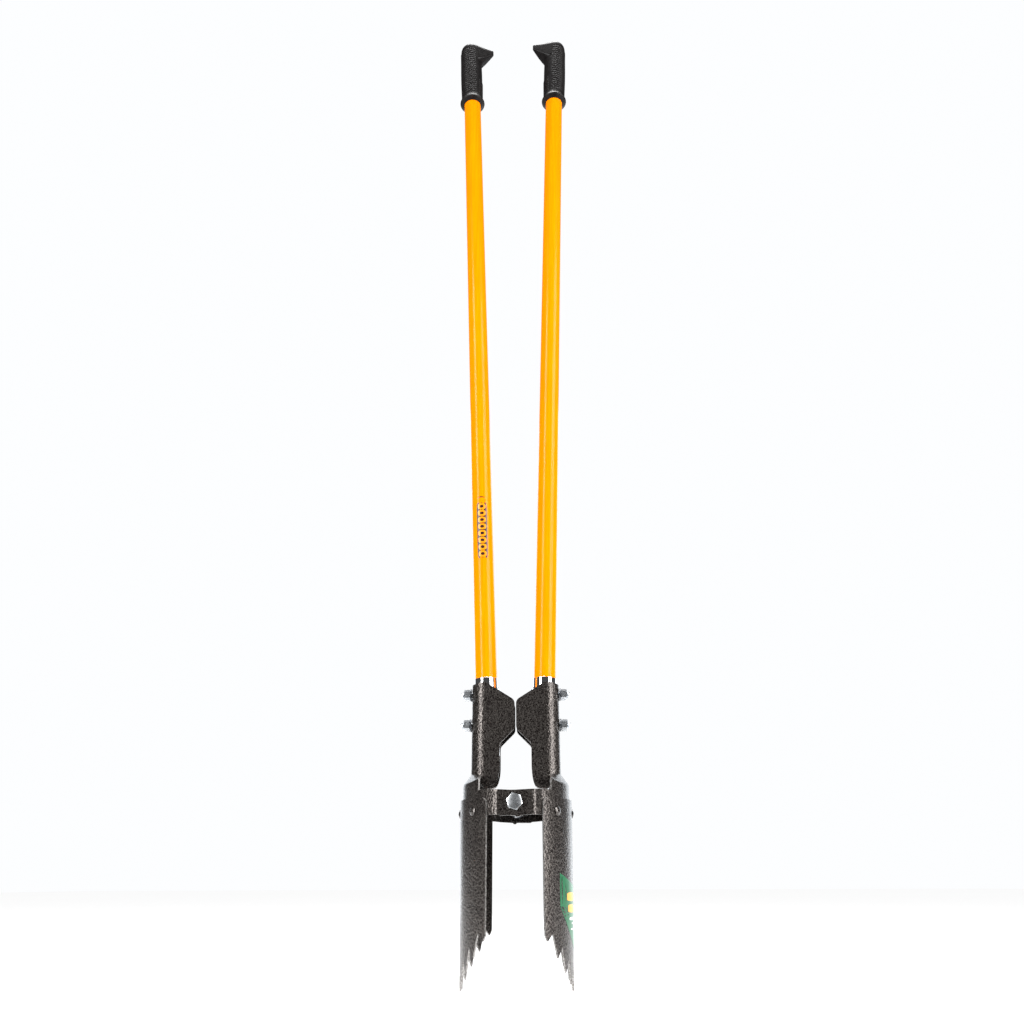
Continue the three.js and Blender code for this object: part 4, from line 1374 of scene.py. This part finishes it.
class DIGGER_OT_label(Operator):
    """Sticks a plain label with bars on the right blade"""
    bl_idname = "digger.label"
    bl_label = "Blade label"

    def execute(self, context):
        colours = settings().finish
        ground = Finish("label ground", base_color=colours.label, roughness=0.32).material
        orange = Finish("label orange", base_color=colours.label_bars, roughness=0.35).material
        white = Finish("label white", base_color=colours.label_lines, roughness=0.35).material
        label = sticker("label_ground", filled(shield_outline(), (0, 85 * MM)), on_blade, 0.12 * MM, ground)
        bars = [(99.5, 37, 4.7, orange), (87, 34, 4.4, orange), (76, 30, 1.5, white),
                (71, 21, 0.9, white), (65, 25, 0.9, white)]  # height, half width, half height
        parts = [label]
        for height, wide, tall, paint in bars:
            outline = block_outline(0, height * MM, wide * MM, tall * MM)
            parts.append(sticker("bar", filled(outline, (0, height * MM)), on_blade, 0.2 * MM, paint))
        piece = smooth(join("right_label", parts), 40)
        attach(piece, "right_half")
        return {"FINISHED"}


class DIGGER_OT_badge(Operator):
    """Prints a dark badge with a row of plain rings on the left handle"""
    bl_idname = "digger.badge"
    bl_label = "Handle badge"

    def execute(self, context):
        handle, colours = settings().handle, settings().finish
        dark = Finish("badge dark", base_color=colours.badge, roughness=0.3).material
        bright = Finish("badge bright", base_color=colours.handle_light, roughness=0.3).material
        middle = handle.badge_bottom + handle.badge_length / 2
        wide, rings, border = 7.4 * MM, 8, 1.5 * MM
        outline = block_outline(0, middle, wide, handle.badge_length / 2, power=8)
        parts = [sticker("badge_ground", filled(outline, (0, middle)), on_tube, 0.06 * MM, dark)]
        pitch = (handle.badge_length - 2 * border) / rings
        for ring in range(rings):
            along = handle.badge_bottom + border + (ring + 0.5) * pitch
            for lift, size, paint in ((0.10 * MM, 0.88, bright), (0.14 * MM, 0.42, dark)):
                outline = block_outline(0, along, 0.85 * size * wide, 0.5 * size * pitch, power=2.6)
                parts.append(sticker("ring", filled(outline, (0, along)), on_tube, lift, paint))
        tips = radians(40)
        above, outer, dip = handle.badge_bottom + handle.badge_length + 1 * MM, 8 * MM, 0.22
        arc_line = [(a, sin(pi * (a - tips) / (pi - 2 * tips))) for a in np.linspace(tips, pi - tips, 17)]
        rows = [[(outer * cos(a), above + outer * sin(a) * (1 - share * dip * bow)) for a, bow in arc_line]
                for share in (0.0, 0.5, 1.0)]
        parts.append(sticker("crescent", rows, on_tube, 0.06 * MM, dark, closed=False))
        piece = smooth(join("left_badge", parts), 40)
        piece.data.transform(SIDES["left"] @ handle_frame())
        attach(piece, "left_half")
        return {"FINISHED"}


# ---- stage -------------------------------------------------------------------------------

WHITE, COOL = (1, 1, 1), (0.90, 0.95, 1)
SOFTBOXES = (
    # name, turn in degrees, distance, height, width and length in metres, watts, tint
    ("left softbox", -44, 1.7, 0.9, 0.45, 2.4, 48, WHITE),
    ("right softbox", 58, 1.7, 0.9, 0.8, 2.4, 46, WHITE),
    ("right strip", 43, 2.0, 1.0, 0.12, 1.8, 14, WHITE),
    ("left rim", -158, 2.2, 0.9, 0.8, 2.0, 12, COOL),
    ("right rim", 152, 2.2, 0.9, 1.2, 2.0, 18, COOL),
)


def add_softbox(name, turn, distance, height, wide, tall, power, tint):
    """A soft rectangular light, turned about the object from the camera's side, facing its middle."""
    light = bpy.data.lights.new(name, "AREA")
    light.shape = "RECTANGLE"
    light.size = wide
    light.size_y = tall
    light.energy = power
    light.color = tint
    box = bpy.data.objects.new(name, light)
    bpy.context.scene.collection.objects.link(box)
    place = Vector((distance * sin(turn), -distance * cos(turn), height))
    middle = Vector((0, 0, settings().stage.aim))
    facing = (middle - place).to_track_quat("-Z", "Y").to_matrix().to_4x4()
    box.matrix_world = Matrix.Translation(place) @ facing
    box.visible_camera = False


class DIGGER_OT_stage(Operator):
    """Sets up the camera, the floor and the studio light"""
    bl_idname = "digger.stage"
    bl_label = "Stage"

    def execute(self, context):
        stage = settings().stage
        camera = bpy.data.cameras.new("camera")
        camera.lens = stage.lens
        camera.sensor_width = 36
        camera.clip_start = 0.02
        view = bpy.data.objects.new("camera", camera)
        view.matrix_world = (Matrix.Translation(stage.camera_place)
                             @ Matrix.Rotation(stage.camera_turn, 4, "Z")
                             @ Matrix.Rotation(pi / 2 + stage.camera_tilt, 4, "X")
                             @ Matrix.Rotation(stage.camera_roll, 4, "Z"))
        context.scene.collection.objects.link(view)
        context.scene.camera = view
        context.scene.view_settings.view_transform = "Standard"

        half = stage.floor_size / 2
        front, back = -stage.floor_front, stage.floor_size
        corners = [(-half, front, 0), (half, front, 0), (half, back, 0), (-half, back, 0)]
        paint = Finish("studio floor", base_color=stage.floor, roughness=0.7, specular_ior_level=0.2)
        make_object("studio_floor", corners, [(0, 1, 2, 3)], [paint.material])

        world = bpy.data.worlds.new("studio")
        context.scene.world = world
        world.use_nodes = True
        nodes, links = world.node_tree.nodes, world.node_tree.links
        seen = nodes.new("ShaderNodeLightPath").outputs["Is Camera Ray"]
        level = nodes.new("ShaderNodeMapRange")
        links.new(seen, level.inputs["Value"])
        level.inputs["To Min"].default_value = stage.surround
        level.inputs["To Max"].default_value = 1.0
        links.new(level.outputs[0], nodes["Background"].inputs["Strength"])
        nodes["Background"].inputs["Color"].default_value = (0.98, 0.99, 1.0, 1)

        for name, turn, *rest in SOFTBOXES:
            add_softbox(name, radians(turn), *rest)
        sky = bpy.data.lights.new("sky", "SUN")
        sky.energy = stage.sky
        sky.angle = stage.sky_angle
        sky.use_shadow = False
        context.scene.collection.objects.link(bpy.data.objects.new("sky", sky))
        return {"FINISHED"}


# ---- add-on ------------------------------------------------------------------------------

OPERATORS = (DIGGER_OT_stage, DIGGER_OT_blades, DIGGER_OT_yokes, DIGGER_OT_rivets, DIGGER_OT_tubes,
             DIGGER_OT_ferrules, DIGGER_OT_grips, DIGGER_OT_handle_bolts, DIGGER_OT_pivot_bolts,
             DIGGER_OT_label, DIGGER_OT_badge)


class DIGGER_PT_panel(Panel):
    """Lists the pieces and their sizes"""
    bl_idname = "DIGGER_PT_panel"
    bl_label = "Post hole digger"
    bl_space_type = "VIEW_3D"
    bl_region_type = "UI"
    bl_category = "Digger"

    def draw(self, context):
        for operator in OPERATORS:
            self.layout.operator(operator.bl_idname)
        for group in ("blade", "yoke", "handle", "grip", "fastener", "finish", "stage"):
            box = self.layout.box()
            box.label(text=group.title())
            values = getattr(context.scene.digger, group)
            for key in values.bl_rna.properties.keys():
                if key not in ("rna_type", "name"):
                    box.prop(values, key)


CLASSES = (BladeSizes, YokeSizes, HandleSizes, GripSizes, FastenerSizes, FinishColours, StageSettings,
           DiggerSettings, *OPERATORS, DIGGER_PT_panel)


def register():
    for item in CLASSES:
        bpy.utils.register_class(item)
    bpy.types.Scene.digger = PointerProperty(type=DiggerSettings)


def unregister():
    del bpy.types.Scene.digger
    for item in reversed(CLASSES):
        bpy.utils.unregister_class(item)


def main():
    register()
    for operator in OPERATORS:
        group, name = operator.bl_idname.split(".")
        getattr(getattr(bpy.ops, group), name)()


if __name__ == "__main__":
    main()
